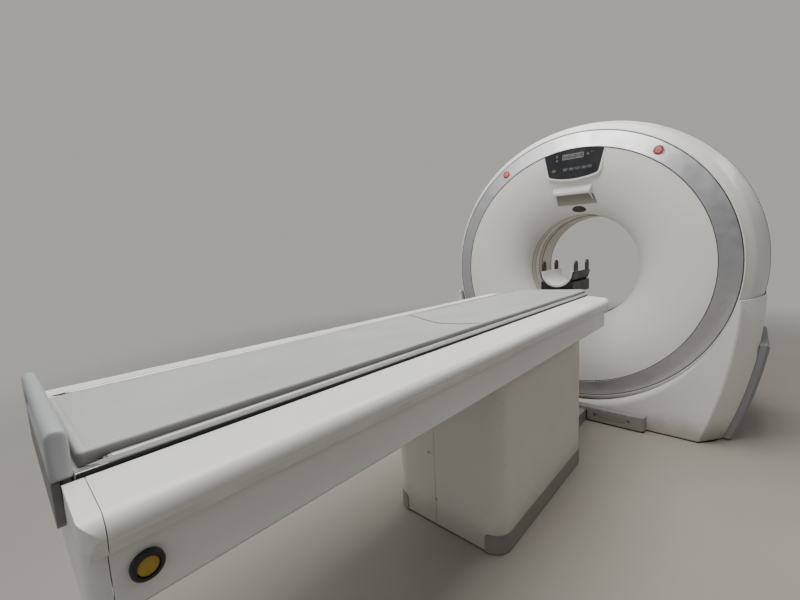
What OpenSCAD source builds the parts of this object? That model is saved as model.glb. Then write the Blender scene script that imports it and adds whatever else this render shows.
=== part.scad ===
// CT scanner: a tilting ring gantry and a patient table with a sliding cradle.
// Millimetres, +Z up, +Y runs from the table into the bore, +X to the right
// as seen from the foot of the table. The origin is on the floor, straight
// below the centre of the bore.

/* [Gantry] */
// Height of the bore centre above the floor
iso_h = 960; // [955:1:1000]
// Diameter of the patient bore
bore_d = 700; // [660:10:720]
// From the bore centre to the front mouth of the straight bore
throat_front = 160; // [130:5:180]
// From the bore centre to the rear mouth of the straight bore
throat_rear = 200; // [150:5:230]
// Radius of the round body about the bore centre
shell_r = 940; // [930:1:950]
// Wall of the moulded covers
shell_t = 6; // [4:0.5:8]
// From the bore centre to the front face
front_depth = 400; // [380:5:420]
// From the bore centre to the rear face
rear_depth = 380; // [360:5:400]
// Length of the rounded shoulder behind each face
shoulder = 60; // [40:5:90]
// Where the front and rear covers meet, in front of the bore centre
split_y = 60; // [30:5:90]
// Open seam between two covers
seam = 3; // [1:0.5:4]

/* [Trim ring] */
// Inner radius of the silver ring
ring_in_r = 738; // [720:1:750]
// Outer radius of the silver ring
ring_out_r = 834; // [820:1:840]
// How far the outer edge of the ring lies behind its inner edge
ring_set = 28; // [15:1:35]
// Thickness of the ring
ring_t = 12; // [8:1:16]
// How far the ring stands in front of the cover inside it
ring_proud = 4; // [2:0.5:8]

/* [Control panel] */
// Width of the black panel at its top
panel_w = 350; // [300:2:370]
// Width of the black panel at its foot
panel_foot_w = 280; // [240:2:300]
// Height of the panel at its middle
panel_h = 175; // [140:1:190]
// Thickness of the black panel
panel_t = 8; // [5:0.5:12]
// Border of the moulding round the panel
panel_rim = 12; // [8:1:18]
// Width of the display window
lcd_w = 124; // [80:2:140]
// Height of the display window
lcd_h = 37; // [24:1:44]
// Width of the visor under the panel
visor_w = 216; // [180:2:230]
// Diameter of a red stop button
stop_d = 38; // [30:1:44]
// Travel of a red stop button
stop_travel = 3; // [2:0.5:4]
// Angle of the stop buttons from straight up, seen at the bore centre
stop_angle = 34.6; // [28:0.2:40]

/* [Inside the gantry] */
// Thickness of the plate that carries the covers and the rotor
frame_t = 25; // [20:1:30]
// How far that plate lies behind the bore centre
frame_back = 125; // [115:1:135]
// Inner radius of the rotor bearing
bearing_r = 430; // [420:1:440]
// Outer radius of the rotor
rotor_r = 765; // [740:5:770]
// Radius of a tilt pin
pin_r = 35; // [30:1:40]
// Radial clearance of a tilt pin in its bearing
pin_gap = 0.2; // [0.1:0.05:0.4]
// Running clearance between parts that pass each other
run_gap = 0.3; // [0.2:0.05:0.5]

/* [Base of the gantry] */
// Width of the gap between the tilting body and its seat
seat_gap = 6; // [5:0.5:9]
// From the bore centre to the front face of the floor covers
base_front = 432; // [425:1:445]
// From the bore centre down to the top of the side arms of the floor covers
arm_drop = 170; // [165:5:220]
// Clearance of the floor covers above the floor
floor_gap = 9; // [6:1:14]
// How far the grey side panels stand out of the white covers
panel_out = 40; // [36:1:56]
// Height of the grey side panels
side_panel_h = 548; // [480:4:560]
// Half depth of the grey side panels
side_panel_y = 300; // [240:2:302]
// From the side of the round body in to the inner face of an upright
upright_in = 140; // [135:1:145]
// Thickness of an upright
upright_t = 25; // [20:1:28]
// Half width of an upright
upright_w = 70; // [60:1:75]
// Half length of the grey plinth
plinth_x = 450; // [400:2:452]
// Height of the grey plinth
plinth_h = 90; // [84:1:110]
// From the bore centre to the front of the plinth
plinth_y = 480; // [470:1:490]

/* [Anchors] */
// Diameter of an anchor hole
anchor_d = 18; // [12:1:20]
// Half distance between the anchor holes of the gantry, along X
anchor_x = 495; // [485:1:505]
// Half distance between the anchor holes of the gantry, along Y
anchor_y = 320; // [280:5:330]
// From the side of the pedestal in to its anchor holes
table_anchor_side = 55; // [45:1:75]
// From an end of the pedestal in to its anchor holes
table_anchor_in = 67.5; // [60:0.5:95]

/* [Patient table] */
// From the bore centre to the foot end of the rails
table_foot = 2910; // [2860:5:2960]
// Length of the foot end cap
foot_cap_l = 24; // [18:1:40]
// From the bore centre to the tip of the rounded head end
table_head = 718; // [700:2:740]
// Radius of the rounded head end, seen from above
head_r = 500; // [450:10:600]
// Height of the top of the side rails
rail_top = 832; // [820:1:845]
// Half distance between the two side rails
rail_in = 222; // [218:1:226]
// Half width of the table over the rails
rail_out = 346; // [338:1:350]
// Height of the rail with its rounded nose
rail_h = 48; // [40:1:54]
// Radius of the rounded nose of the rail
nose_r = 22; // [14:1:23]
// Half width of the table over the side covers
side_x = 326; // [322:1:330]
// Height of the lower edge of the side covers
side_bottom = 690; // [684:1:694]
// Wall of the table covers
table_wall = 4; // [3:0.5:5]

/* [Pedestal] */
// Half width of the pedestal
ped_x = 255; // [240:1:256]
// From the bore centre to the foot face of the pedestal
ped_foot = 1825; // [1780:5:1860]
// From the bore centre to the head face of the pedestal
ped_head = 950; // [930:5:990]
// Height of the top edge of the pedestal cover
ped_top = 698; // [694:1:704]
// Radius of the upright corners of the pedestal
ped_r = 70; // [50:2:84]
// Wall of the pedestal cover
ped_wall = 5; // [4:0.5:7]
// Height of the grey kick trim
kick_h = 72; // [50:2:90]
// Place of the upright seam in the foot face
ped_seam_x = -35; // [-80:5:80]
// Clearance between the pedestal cover and the sleeve inside it
sleeve_gap = 7; // [5:0.5:10]

/* [Cradle] */
// Half width of the cradle over its side rails
cradle_x = 216; // [210:1:217]
// Height of the underside of the cradle
cradle_bottom = 801; // [800:0.5:804]
// Height of the top of the cradle side strips
strip_top = 838; // [836:1:842]
// Height of the accessory rails on those strips
bar_top = 847; // [844:1:850]
// From the foot end of the table to the start of the accessory rails
bar_in = 51; // [40:1:80]
// Width of a cradle side rail
strip_w = 17; // [14:1:20]
// From the bore centre to the head end of the cradle
cradle_head = 700; // [690:2:740]
// Thickness of the cradle shell
cradle_t = 9; // [7:0.5:12]
// Thickness of the pad in the middle
pad_t = 26; // [20:1:30]
// Thickness of the foot handle
handle_t = 24; // [18:1:28]
// Height of the top of the foot handle
handle_top = 904; // [890:1:910]

/* [Release button] */
// Diameter of the black bezel
release_bezel_d = 38; // [34:1:44]
// Diameter of the yellow button
release_d = 26; // [20:1:28]
// Travel of the yellow button
release_travel = 3; // [2:0.5:4]
// From the foot end of the table to the button
release_in = 59; // [52:1:80]
// Height of the button
release_z = 741; // [725:1:750]

/* [Head holder] */
// Inner radius of the head trough
holder_r = 80; // [70:1:84]
// Thickness of the trough liner
holder_pad_t = 11; // [8:1:14]
// Thickness of the black carrier
holder_t = 8; // [6:1:10]
// Length of the trough
holder_l = 300; // [240:5:320]
// From the cradle end to the trough
holder_reach = 84; // [70:2:110]
// Height of the axis of the trough
holder_z = 950; // [944:1:956]

/* [Hidden] */
big = 4000;
white = "#e6e3dc";
warm_white = "#dedad2";
grey = "#8d9092";
mid_grey = "#a9abac";
dark = "#3a3d40";
black = "#17181a";
silver = "#c3c5c9";
steel = "#70757a";

bore_r = bore_d / 2;
edge_a = front_depth - ring_set;
rear_edge_a = rear_depth - ring_set;
lip = 1.5;
body_edge_r = ring_out_r + lip + shell_t;
donut_a = front_depth - ring_proud;
donut_r = ring_in_r - lip;
seat_r = shell_r + seat_gap;
base_h = iso_h - arm_drop;
upright_x = shell_r - upright_in;
// The panel, the visor, the eye window and the buttons sit turned by this angle
turn = 1.5;

// Radius of the round body at a distance a from the bore centre
function body_r(a, edge, r0, rs) =
    let (t = min(1, max(0, (edge - abs(a)) / shoulder)))
    r0 + (sqrt(rs * rs - a * a) - r0) * sin(90 * t);
// Points of the round body between two places along the bore
function body_pts(a0, a1, edge, r0, rs, n) =
    [for (i = [0:n]) let (a = a0 + (a1 - a0) * i / n) [body_r(a, edge, r0, rs), a]];
// Points of the flared mouth, from the face into the bore
function mouth_pts(face_r, face_a, in_r, in_a, n) =
    [for (i = [0:n]) let (p = 90 * i / n)
        [in_r + (face_r - in_r) * (1 - sin(p)), in_a + (face_a - in_a) * cos(p)]];
function flip(list) = [for (i = [len(list) - 1:-1:0]) list[i]];
function mirrored(list) = [for (p = list) [p[0], -p[1]]];

// Turns a profile of radius and forward distance about the bore
module about_bore(fn = 120) {
    translate([0, 0, iso_h]) rotate([90, 0, 0]) rotate_extrude($fn = fn) children();
}
// Extrudes an XZ outline along the bore, between two forward distances
module along_bore(a0, a1) {
    translate([0, -a0, iso_h]) rotate([90, 0, 0]) linear_extrude(a1 - a0) children();
}
// Extrudes an XZ outline from one Y to the next
module along_y(y0, y1) {
    translate([0, y1, 0]) rotate([90, 0, 0]) linear_extrude(y1 - y0) children();
}
module both_sides() {
    children();
    mirror([1, 0, 0]) children();
}
module seat_ball(r) {
    translate([0, 0, iso_h]) sphere(r, $fn = 96);
}

// Tilting body

// Slot in the lower side of the round body, for an upright as the body tilts
slot_sweep = 41;
module upright_slot() {
    slot_in = sqrt(pow(shell_r - shell_t, 2) - pow(upright_x + upright_t + 12, 2)) - 8;
    slot_out = sqrt(pow(shell_r, 2) - pow(upright_x - 12, 2)) + 10;
    both_sides()
        translate([upright_x - 12, 0, iso_h]) rotate([0, 90, 0])
            rotate([0, 0, -slot_sweep])
                rotate_extrude(angle = 2 * slot_sweep, $fn = 96)
                    translate([slot_in, 0]) square([slot_out - slot_in, upright_t + 24]);
}

module donut_profile() {
    polygon(concat(
        mouth_pts(donut_r, donut_a, bore_r, throat_front, 22),
        flip(mouth_pts(donut_r - 10, donut_a - shell_t, bore_r + shell_t,
                       throat_front, 14)),
        [[donut_r - 10, front_depth - ring_t - 2 - shell_t],
         [ring_out_r - 6, edge_a - ring_t - 1 - shell_t],
         [ring_out_r - 6, edge_a - ring_t - 1],
         [donut_r, front_depth - ring_t - 1]]));
}

// Outline of the black panel: its top follows the trim ring
panel_top = ring_in_r - 3;
panel_foot = panel_top - panel_h;
panel_c = panel_foot_w / 2 - 12;
panel_corner_r = 22;
panel_bulge = 18.4;
// Rounded lower corner of the panel, on the side s, for a turn of q degrees
function panel_corner(grow, s, q) =
    [s * (panel_c + (panel_corner_r + grow) * cos(q)),
     panel_foot + panel_bulge + panel_corner_r - (panel_corner_r + grow) * sin(q)];
module panel_outline(grow = 0) {
    half = panel_w / 2 + grow;
    rotate(-turn) intersection() {
        circle(panel_top + grow, $fn = 160);
        polygon(concat(
            [[-half, panel_top + 60], [half, panel_top + 60], [half, panel_top - 30]],
            [for (i = [0:6]) panel_corner(grow, 1, 11 + 11 * i)],
            [for (i = [8:-1:-8]) [panel_c * i / 9,
                                  panel_foot - grow + panel_bulge * pow(i / 9.3, 2)]],
            [for (i = [6:-1:0]) panel_corner(grow, -1, 11 + 11 * i)],
            [[-half, panel_top - 30]]));
    }
}

// Side outline of the visor, as forward distance and height over the bore centre
lip_a = front_depth - 36;
module visor_block() {
    intersection() {
        translate([-visor_w, 0, iso_h]) rotate([90, 0, 90]) linear_extrude(2 * visor_w)
            mirror([1, 0]) polygon([
                [lip_a - 94, bore_r + 47], [lip_a - 81, bore_r + 50],
                [lip_a + 2, bore_r + 116], [lip_a + 7, bore_r + 124],
                [lip_a + 8, bore_r + 135], [lip_a + 3, bore_r + 153],
                [lip_a - 7, bore_r + 170], [lip_a - 17, bore_r + 182],
                [lip_a - 30, bore_r + 136], [lip_a - 65, bore_r + 82]]);
        along_bore(lip_a - 130, lip_a + 20)
            polygon([[-visor_w / 2 - 14, bore_r + 190], [-visor_w / 2, bore_r + 122],
                     [-visor_w / 2 - 14, bore_r + 40], [visor_w / 2 + 14, bore_r + 40],
                     [visor_w / 2, bore_r + 122], [visor_w / 2 + 14, bore_r + 190]]);
    }
}
module rotate_about_bore() {
    translate([0, 0, iso_h]) rotate([0, turn, 0]) translate([0, 0, -iso_h]) children();
}

// Eye-shaped window in the flare, seen from its own place and slant
eye_r = 45;
eye_off = 9;
module laser_hole(grow = 0) {
    rotate_about_bore() translate([0, -throat_front - 88, iso_h + bore_r + 28])
        rotate([-34.5, 0, 0]) linear_extrude(70, center = true) intersection() {
            translate([0, eye_off]) circle(eye_r + grow, $fn = 64);
            translate([0, -eye_off]) circle(eye_r + grow, $fn = 64);
        }
}

module donut_cover() {
    color(white) difference() {
        union() {
            about_bore() donut_profile();
            intersection() {
                along_bore(edge_a - 32, donut_a - 1) panel_outline(panel_rim);
                about_bore(96) polygon([[bore_r, edge_a - 34], [donut_r, edge_a - 34],
                    [donut_r, donut_a + 2], [bore_r, donut_a + 2]]);
            }
            visor_block();
        }
        along_bore(donut_a - panel_t - 1, donut_a + 10) panel_outline(run_gap);
        laser_hole(run_gap);
        for (s = [-1, 1]) stop_place(s)
            translate([0, 0, -60]) cylinder(d = stop_d + 12, h = 80, $fn = 48);
    }
}

module control_panel() {
    color(black) difference() {
        union() {
            along_bore(donut_a - panel_t - 1 + run_gap, donut_a + 1) panel_outline();
            along_bore(donut_a, donut_a + 1.8) rotate(-turn)
                for (x = panel_keys) translate([x, key_z]) circle(10, $fn = 32);
        }
        along_bore(donut_a - 1.5, donut_a + 8) rotate(-turn)
            translate([-lcd_w / 2 - run_gap, lcd_z - run_gap])
                square([lcd_w + 2 * run_gap, lcd_h + 2 * run_gap]);
    }
}
panel_keys = [-115, -44, -8, 29, 66, 99];
key_z = panel_foot + 59;
lcd_z = panel_top - 24 - lcd_h;
module display_window() {
    color("#9aa39c") along_bore(donut_a - 1.5 + run_gap, donut_a + 1.6) rotate(-turn)
        translate([-lcd_w / 2, lcd_z]) square([lcd_w, lcd_h]);
}

module laser_window() {
    color(black) intersection() {
        laser_hole();
        about_bore(96) polygon(concat(
            mouth_pts(donut_r, donut_a - 3, bore_r + 2, throat_front, 14),
            flip(mouth_pts(donut_r, donut_a - 5, bore_r + 6, throat_front, 14))));
    }
}

module trim_ring() {
    socket = stop_d / 2 + 5 + run_gap;
    color(silver) difference() {
        about_bore(160) polygon([
            [ring_in_r, front_depth - 2], [ring_in_r + 3, front_depth],
            [ring_out_r - 2, edge_a + 1], [ring_out_r, edge_a - 2],
            [ring_out_r, edge_a - ring_t], [ring_in_r, front_depth - ring_t]]);
        for (s = [-1, 1]) stop_place(s)
            translate([0, 0, -40]) cylinder(r = socket, h = 80, $fn = 48);
    }
}

stop_r = (ring_in_r + ring_out_r) / 2;
stop_a = front_depth - ring_set / 2;
// Place of a stop button: its own +Z points out of the ring
module stop_place(s) {
    q = s * stop_angle + turn;
    translate([stop_r * sin(q), -stop_a, iso_h + stop_r * cos(q)])
        rotate([90, 0, 0]) children();
}
module stop_socket(s) {
    color(silver) stop_place(s) difference() {
        translate([0, 0, -ring_t - 3]) cylinder(d = stop_d + 10, h = ring_t + 11, $fn = 48);
        translate([0, 0, -ring_t + 1]) cylinder(d = stop_d + 2 * run_gap, h = 60, $fn = 48);
    }
}
module stop_socket_left() { stop_socket(-1); }
module stop_socket_right() { stop_socket(1); }
module stop_button(s) {
    color("#b8343f") stop_place(s) translate([0, 0, -ring_t + 1 + stop_travel + 0.5])
        rotate_extrude($fn = 48)
            polygon([[0, 0], [stop_d / 2, 0], [stop_d / 2, ring_t],
                     [stop_d / 2, ring_t + 4], [stop_d / 2 - 2.5, ring_t + 6.5],
                     [stop_d / 4, ring_t + 7.6], [0, ring_t + 8]]);
}
module stop_button_left() { stop_button(-1); }
module stop_button_right() { stop_button(1); }

module barrel_front() {
    inner_edge = edge_a;
    color(white) difference() {
        about_bore(160) polygon(concat(
            body_pts(split_y, edge_a, edge_a, body_edge_r, shell_r, 20),
            flip(body_pts(split_y, inner_edge, edge_a, body_edge_r - shell_t,
                          shell_r - shell_t, 20))));
        upright_slot();
    }
}

tongue_l = 14;
module cover_rear() {
    start = split_y - seam;
    tongue_r = body_r(split_y + tongue_l, edge_a, body_edge_r - shell_t,
                      shell_r - shell_t) - run_gap;
    color(warm_white) difference() {
        about_bore(160) polygon(concat(
            [[tongue_r - 3, split_y + tongue_l], [tongue_r, split_y + tongue_l],
             [tongue_r, start], [body_r(start, edge_a, body_edge_r, shell_r), start]],
            mirrored(body_pts(0, rear_edge_a, rear_edge_a, body_edge_r, shell_r, 20)),
            [[body_edge_r - 8, -rear_edge_a - 5], [donut_r + 30, -rear_depth + 3]],
            mirrored(mouth_pts(donut_r, rear_depth, bore_r, throat_rear, 18)),
            mirrored(flip(mouth_pts(donut_r, rear_depth - shell_t, bore_r + shell_t,
                                    throat_rear, 14))),
            [[donut_r + 30, -rear_depth + 3 + shell_t]],
            [for (p = flip(body_pts(0, rear_edge_a - shell_t, rear_edge_a,
                    body_edge_r - shell_t, shell_r - shell_t, 20))) [p[0], -p[1]]],
            [[tongue_r - 3, start - 12]]));
        upright_slot();
    }
}

liner_t = 7;
ring_a0 = 98;
ring_a1 = 32;
module bore_tube(a0, a1, groove) {
    about_bore() difference() {
        translate([bore_r, a1]) square([liner_t, a0 - a1]);
        for (a = groove) translate([bore_r - 1, a - 1.5]) square([3, 3]);
    }
}
module bore_liner_front() {
    color("#77756f") bore_tube(throat_front - run_gap, ring_a0 + run_gap, [146, 122, 108]);
}
module bore_ring() {
    color("#b9b6ae") bore_tube(ring_a0, ring_a1, [84]);
}
module scan_window() {
    color("#c9c3b4") about_bore() translate([bore_r + 1.5, -ring_a1 + 3])
        square([3, 2 * ring_a1 - 3 - run_gap]);
}
module bore_liner_rear() {
    color("#8e8a82") bore_tube(-ring_a1 + 3 - run_gap, -throat_rear + run_gap, [-60]);
}

// Frame, bearing and rotor inside the covers

module tilt_frame() {
    back = -frame_back;
    arm_in = sqrt(pow(shell_r - shell_t, 2) - pow(frame_back + frame_t, 2)) - 0.6;
    arm_r = sqrt(arm_in * arm_in - 40 * 40);
    arm_x = upright_x + upright_t + 7;
    arm_t = 40;
    color(steel) difference() {
        union() {
            along_bore(back - frame_t, back) difference() {
                union() {
                    circle(rotor_r + 12, $fn = 120);
                    for (q = [0, 32, 90, 148, 180, 240, 300])
                        rotate(q) translate([0, -40]) square([arm_r, 80]);
                }
                for (q = [16:30:346]) rotate(q) translate([600, 0]) circle(62, $fn = 40);
            }
            along_bore(back - 0.01, -40) circle(bearing_r, $fn = 120);
            both_sides() translate([arm_x, -46, iso_h - 45])
                cube([arm_t, 46 + frame_back + frame_t, 90]);
            both_sides() translate([upright_x + 1, 0, iso_h]) rotate([0, 90, 0])
                cylinder(r = pin_r, h = arm_x - upright_x, $fn = 64);
        }
        along_bore(back - frame_t - 1, 1) circle(bearing_r - 25, $fn = 120);
    }
}

rotor_in = bearing_r + run_gap;
module rotor_frame() {
    color("#565b60") difference() {
        union() {
            along_bore(-55, -30) circle(rotor_r, $fn = 120);
            along_bore(-frame_back + 10, -30) circle(rotor_in + 24, $fn = 120);
        }
        along_bore(-frame_back, 0) circle(rotor_in, $fn = 120);
        along_bore(-60, 0) for (q = [45:30:315])
            rotate(q) translate([670, 0]) circle(34, $fn = 32);
    }
}
tube_r = 105;
module xray_tube() {
    color("#4c4f52") union() {
        translate([0, 30 - run_gap, iso_h + rotor_r - tube_r - 20]) rotate([90, 0, 0])
            cylinder(r = tube_r, h = 120, $fn = 64);
        translate([-90, -92, iso_h + rotor_r - 295]) cube([180, 122 - run_gap, 110]);
    }
}
module detector_arc() {
    color("#5f6468") translate([0, 0, iso_h]) rotate([90, 0, 0])
        translate([0, 0, -30 + run_gap]) rotate([0, 0, 242])
            rotate_extrude(angle = 56, $fn = 96) translate([rotor_r - 205, 0]) square([90, 110]);
}
module power_units() {
    color("#6a6f73") for (s = [-1, 1])
        translate([s * (rotor_r - 175) - 80, -100, iso_h - 120])
            cube([160, 130 - run_gap, 260]);
}
module slip_ring() {
    slip_r = bearing_r + 70;
    color("#a77b45") along_bore(-75, -55 - run_gap) difference() {
        circle(slip_r + 60, $fn = 96);
        circle(slip_r, $fn = 96);
        for (r = [15, 30, 45]) difference() {
            circle(slip_r + r + 1.5, $fn = 96);
            circle(slip_r + r - 1.5, $fn = 96);
        }
    }
}

// Base of the gantry

rail_x0 = anchor_x - 40;
rail_y = base_front - shell_t - 1 - run_gap;
beam_w = 40;
beam_y = 357;
beam_h = 48;
foot_z = 12;
foot_w = 110;
module frame_side() {
    difference() {
        union() {
            difference() {
                union() {
                    translate([rail_x0, -rail_y, foot_z]) cube([80, 2 * rail_y, 62]);
                    translate([rail_x0, -foot_w, foot_z])
                        cube([upright_x + upright_t - rail_x0, 2 * foot_w, 48]);
                }
                seat_ball(seat_r);
            }
            translate([upright_x, -upright_w, foot_z])
                cube([upright_t, 2 * upright_w, iso_h - foot_z]);
            translate([upright_x, 0, iso_h]) rotate([0, 90, 0])
                cylinder(r = upright_w + 10, h = upright_t, $fn = 64);
            translate([upright_x - 120, 10, foot_z + 47]) rotate([90, 0, 0])
                linear_extrude(20) polygon([[0, 0], [121, 0], [121, 90]]);
            for (s = [-1, 1]) translate([anchor_x, s * anchor_y, 0])
                cylinder(d = 60, h = foot_z + 1, $fn = 48);
        }
        translate([upright_x - 1, 0, iso_h]) rotate([0, 90, 0])
            cylinder(r = pin_r + pin_gap, h = upright_t + 2, $fn = 64);
        for (s = [-1, 1]) {
            translate([anchor_x, s * anchor_y, -1]) cylinder(d = anchor_d, h = 100, $fn = 32);
            translate([anchor_x, s * (anchor_y + 60), 0]) cylinder(d = 16, h = 100, $fn = 32);
        }
    }
}
module frame_right() { color(steel) frame_side(); }
module frame_left() { color(steel) mirror([1, 0, 0]) frame_side(); }
module beam() {
    difference() {
        translate([-rail_x0, -beam_y, foot_z]) cube([2 * rail_x0, beam_w, beam_h]);
        translate([-rail_x0 - 1, -beam_y + 5, foot_z + 5])
            cube([2 * rail_x0 + 2, beam_w - 10, beam_h - 10]);
        seat_ball(seat_r);
    }
}
module beam_front() { color(steel) beam(); }
module beam_rear() { color(steel) mirror([0, 1, 0]) beam(); }

module levelling_feet() {
    color(black) both_sides() for (s = [-1, 1])
        translate([anchor_x, s * (anchor_y + 60), 0]) union() {
            cylinder(d = 56, h = foot_z - run_gap, $fn = 40);
            cylinder(d = 16 - 2 * run_gap, h = 70, $fn = 32);
        }
}

// The sides of the floor covers are arcs about level axes: radius, height and reach
arc_r = 2630;
arc_z = iso_h - 83;
arc_x = shell_r - 6;
// Set back of the front corner, and the angles of the slanting side and of its edge
corner_in = 96;
skew = 36.7;
corner_q = 63.35;
dome_z = iso_h - 347;
dome_r = shell_r + 13.5;
function arc_at(z) = arc_x - arc_r + sqrt(arc_r * arc_r - pow(arc_z - z, 2));
function reach_of(x, y, q) = (arc_x + x) * cos(q) + y * sin(q);
// Space inside a side face that is turned by q about +Z
module arc_side(reach, q) {
    r = arc_r / cos(q);
    rotate([0, 0, -q]) translate([reach - r, 0, arc_z]) rotate([90, 0, 0])
        cylinder(r = r, h = 2 * big, center = true, $fn = 360);
}
// Rounded lip that leads under the round body, widest at the bottom
module seat_lip() {
    lip_r = 42;
    lip_drop = 105;
    lip_out = shell_r - 143;
    translate([0, 0, iso_h - lip_drop]) rotate([90, 0, 0]) rotate_extrude($fn = 160)
        polygon(concat([[0, base_front + 10], [lip_out, base_front + 10]],
            [for (i = [0:8]) [lip_out - lip_r * sin(11 * i),
                              base_front - lip_r * (1 - cos(11 * i))]],
            [[lip_out - lip_r, 200], [0, 200]]));
}
// Room for the steel frame inside a floor cover
module frame_room() {
    both_sides() {
        translate([rail_x0 - 2, -rail_y - run_gap, -1]) cube([84, rail_y + 20, foot_z + 65]);
        translate([rail_x0, -foot_w - 2, -1])
            cube([upright_x + upright_t + 5 - rail_x0, 2 * foot_w + 4, foot_z + 51]);
        translate([upright_x - 8, -upright_w - 8, -1])
            cube([upright_t + 13, 2 * upright_w + 16, iso_h - 390]);
        translate([upright_x - 125, -14, foot_z + 40]) cube([130, 28, 102]);
    }
    translate([-rail_x0, -beam_y - 1, -1]) cube([2 * rail_x0, beam_w + 2, foot_z + beam_h + 3]);
}
module cover_side() {
    intersection() {
        arc_side(arc_x, 0);
        arc_side(reach_of(-corner_in, base_front, skew), skew);
        arc_side(reach_of(-corner_in, base_front, corner_q) - 2.5, corner_q);
    }
}
module base_cover() {
    difference() {
        intersection() {
            translate([-1200, -base_front, floor_gap])
                cube([2400, base_front - 1.5, base_h - floor_gap]);
            cover_side();
            mirror([1, 0, 0]) cover_side();
            union() {
                cylinder(r = dome_r, h = dome_z, $fn = 160);
                translate([0, 0, dome_z]) sphere(dome_r, $fn = 160);
            }
        }
        seat_ball(seat_r);
        seat_lip();
        frame_room();
    }
}
plinth_back = 360;
module base_cover_front() {
    color(white) difference() {
        base_cover();
        translate([-plinth_x - run_gap, -base_front - 1, -1])
            cube([2 * plinth_x + 2 * run_gap, base_front - plinth_back + 1 + run_gap,
                  plinth_h + 1 + run_gap]);
    }
}
module base_cover_rear() { color(warm_white) mirror([0, 1, 0]) base_cover(); }

panel_edge = 10;
// Space inside a level arc, seen along Y
module arc_profile(x, z0, z1) {
    intersection() {
        translate([x - arc_r, arc_z]) circle(arc_r, $fn = 360);
        translate([upright_x - 200, z0]) square([600, z1 - z0]);
    }
}
module side_panel() {
    top_x = arc_at(side_panel_h) + panel_out;
    corner = reach_of(panel_out, side_panel_y, 45) - panel_edge;
    difference() {
        intersection() {
            along_y(-side_panel_y, side_panel_y) difference() {
                arc_profile(arc_x + panel_out, floor_gap, side_panel_h);
                arc_profile(arc_x + 0.6, floor_gap - 1, side_panel_h + 1);
                polygon([[top_x - 12, side_panel_h + 1], [top_x + 9, side_panel_h + 1],
                         [top_x + 9, side_panel_h - 12], [top_x - 1, side_panel_h - 12]]);
            }
            arc_side(corner, 45);
            mirror([0, 1, 0]) arc_side(corner, 45);
        }
        translate([upright_x - 40, -foot_w - 4, -1])
            cube([upright_t + 40 + run_gap, 2 * foot_w + 8, 190]);
    }
}
module side_panel_right() { color(grey) side_panel(); }
module side_panel_left() { color(grey) mirror([1, 0, 0]) side_panel(); }

notch_x = 137;
link_x = notch_x - 6;
notch_top = plinth_h - 17;
module plinth() {
    back_y = plinth_back;
    color("#97999b") difference() {
        translate([0, 0, floor_gap]) linear_extrude(plinth_h - floor_gap) difference() {
            union() {
                translate([-plinth_x + 30, -plinth_y])
                    square([2 * plinth_x - 60, plinth_y - back_y]);
                translate([-plinth_x, -plinth_y + 30])
                    square([2 * plinth_x, plinth_y - 30 - back_y]);
                for (s = [-1, 1]) translate([s * (plinth_x - 30), -plinth_y + 30])
                    circle(30, $fn = 48);
            }
            translate([-plinth_x - 1, -back_y]) square([2 * plinth_x + 2, 100]);
        }
        translate([-notch_x, -plinth_y - 1, -1])
            cube([2 * notch_x, plinth_y - back_y - 4, notch_top + 1]);
        for (s = [-1, 1], x = [181, 366]) translate([s * x, -plinth_y - 1, 50])
            rotate([-90, 0, 0]) cylinder(d = 15, h = 22, $fn = 32);
        seat_ball(seat_r);
    }
}

module floor_link() {
    color("#8b8d8f") translate([-link_x, -ped_head, 6])
        cube([2 * link_x, ped_head - plinth_y + 34, notch_top - 6]);
}

// Table base and pedestal

ped_mid = -(ped_foot + ped_head) / 2;
ped_len = ped_foot - ped_head;
module ped_outline(inset) {
    r = max(ped_r - inset, 8);
    hx = ped_x - inset - r;
    hy = ped_len / 2 - inset - r;
    translate([0, ped_mid]) union() {
        square([2 * hx + 2 * r, 2 * hy], center = true);
        square([2 * hx, 2 * hy + 2 * r], center = true);
        for (sx = [-1, 1], sy = [-1, 1]) translate([sx * hx, sy * hy]) circle(r, $fn = 64);
    }
}
module pedestal_cover() {
    color(white) difference() {
        translate([0, 0, floor_gap]) linear_extrude(ped_top - floor_gap) difference() {
            ped_outline(0);
            ped_outline(ped_wall);
        }
        translate([ped_seam_x, -ped_foot - 1, floor_gap - 1]) cube([1.6, 3.4, ped_top]);
        for (z = [119, 308]) translate([ped_seam_x - 16, -ped_foot - 1, z])
            rotate([-90, 0, 0]) cylinder(d = 7, h = 3.5, $fn = 24);
    }
}
module pedestal_kick() {
    gap_x = 186;
    color(grey) difference() {
        translate([0, 0, 5]) linear_extrude(kick_h) difference() {
            ped_outline(-2.5);
            ped_outline(-run_gap);
        }
        translate([-gap_x, -ped_foot - 20, 0]) cube([2 * gap_x, 60, 200]);
        translate([-gap_x, -ped_head - 40, 0]) cube([2 * gap_x, 60, 200]);
        for (s = [-1, 1]) translate([s * gap_x, -ped_foot - 20, 5 + kick_h]) rotate([-90, 0, 0])
            difference() {
                translate([s > 0 ? 0 : -18, 0, 0]) cube([18, 18, 60]);
                translate([s * 18, 18, -1]) cylinder(r = 18, h = 62, $fn = 32);
            }
    }
}
module table_base() {
    color(steel) difference() {
        union() {
            translate([-ped_x + 12, -ped_foot + 12, 0]) cube([2 * ped_x - 24, ped_len - 24, 5]);
            translate([-ped_x + ped_wall, -ped_foot + ped_r + 6, 5])
                cube([2 * (ped_x - ped_wall), ped_len - 2 * ped_r - 12, 14]);
        }
        for (sx = [-1, 1], sy = [-1, 1])
            translate([sx * (ped_x - table_anchor_side), ped_mid + sy * (ped_len / 2 - table_anchor_in), -1])
                cylinder(d = anchor_d, h = 40, $fn = 32);
    }
}

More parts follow.
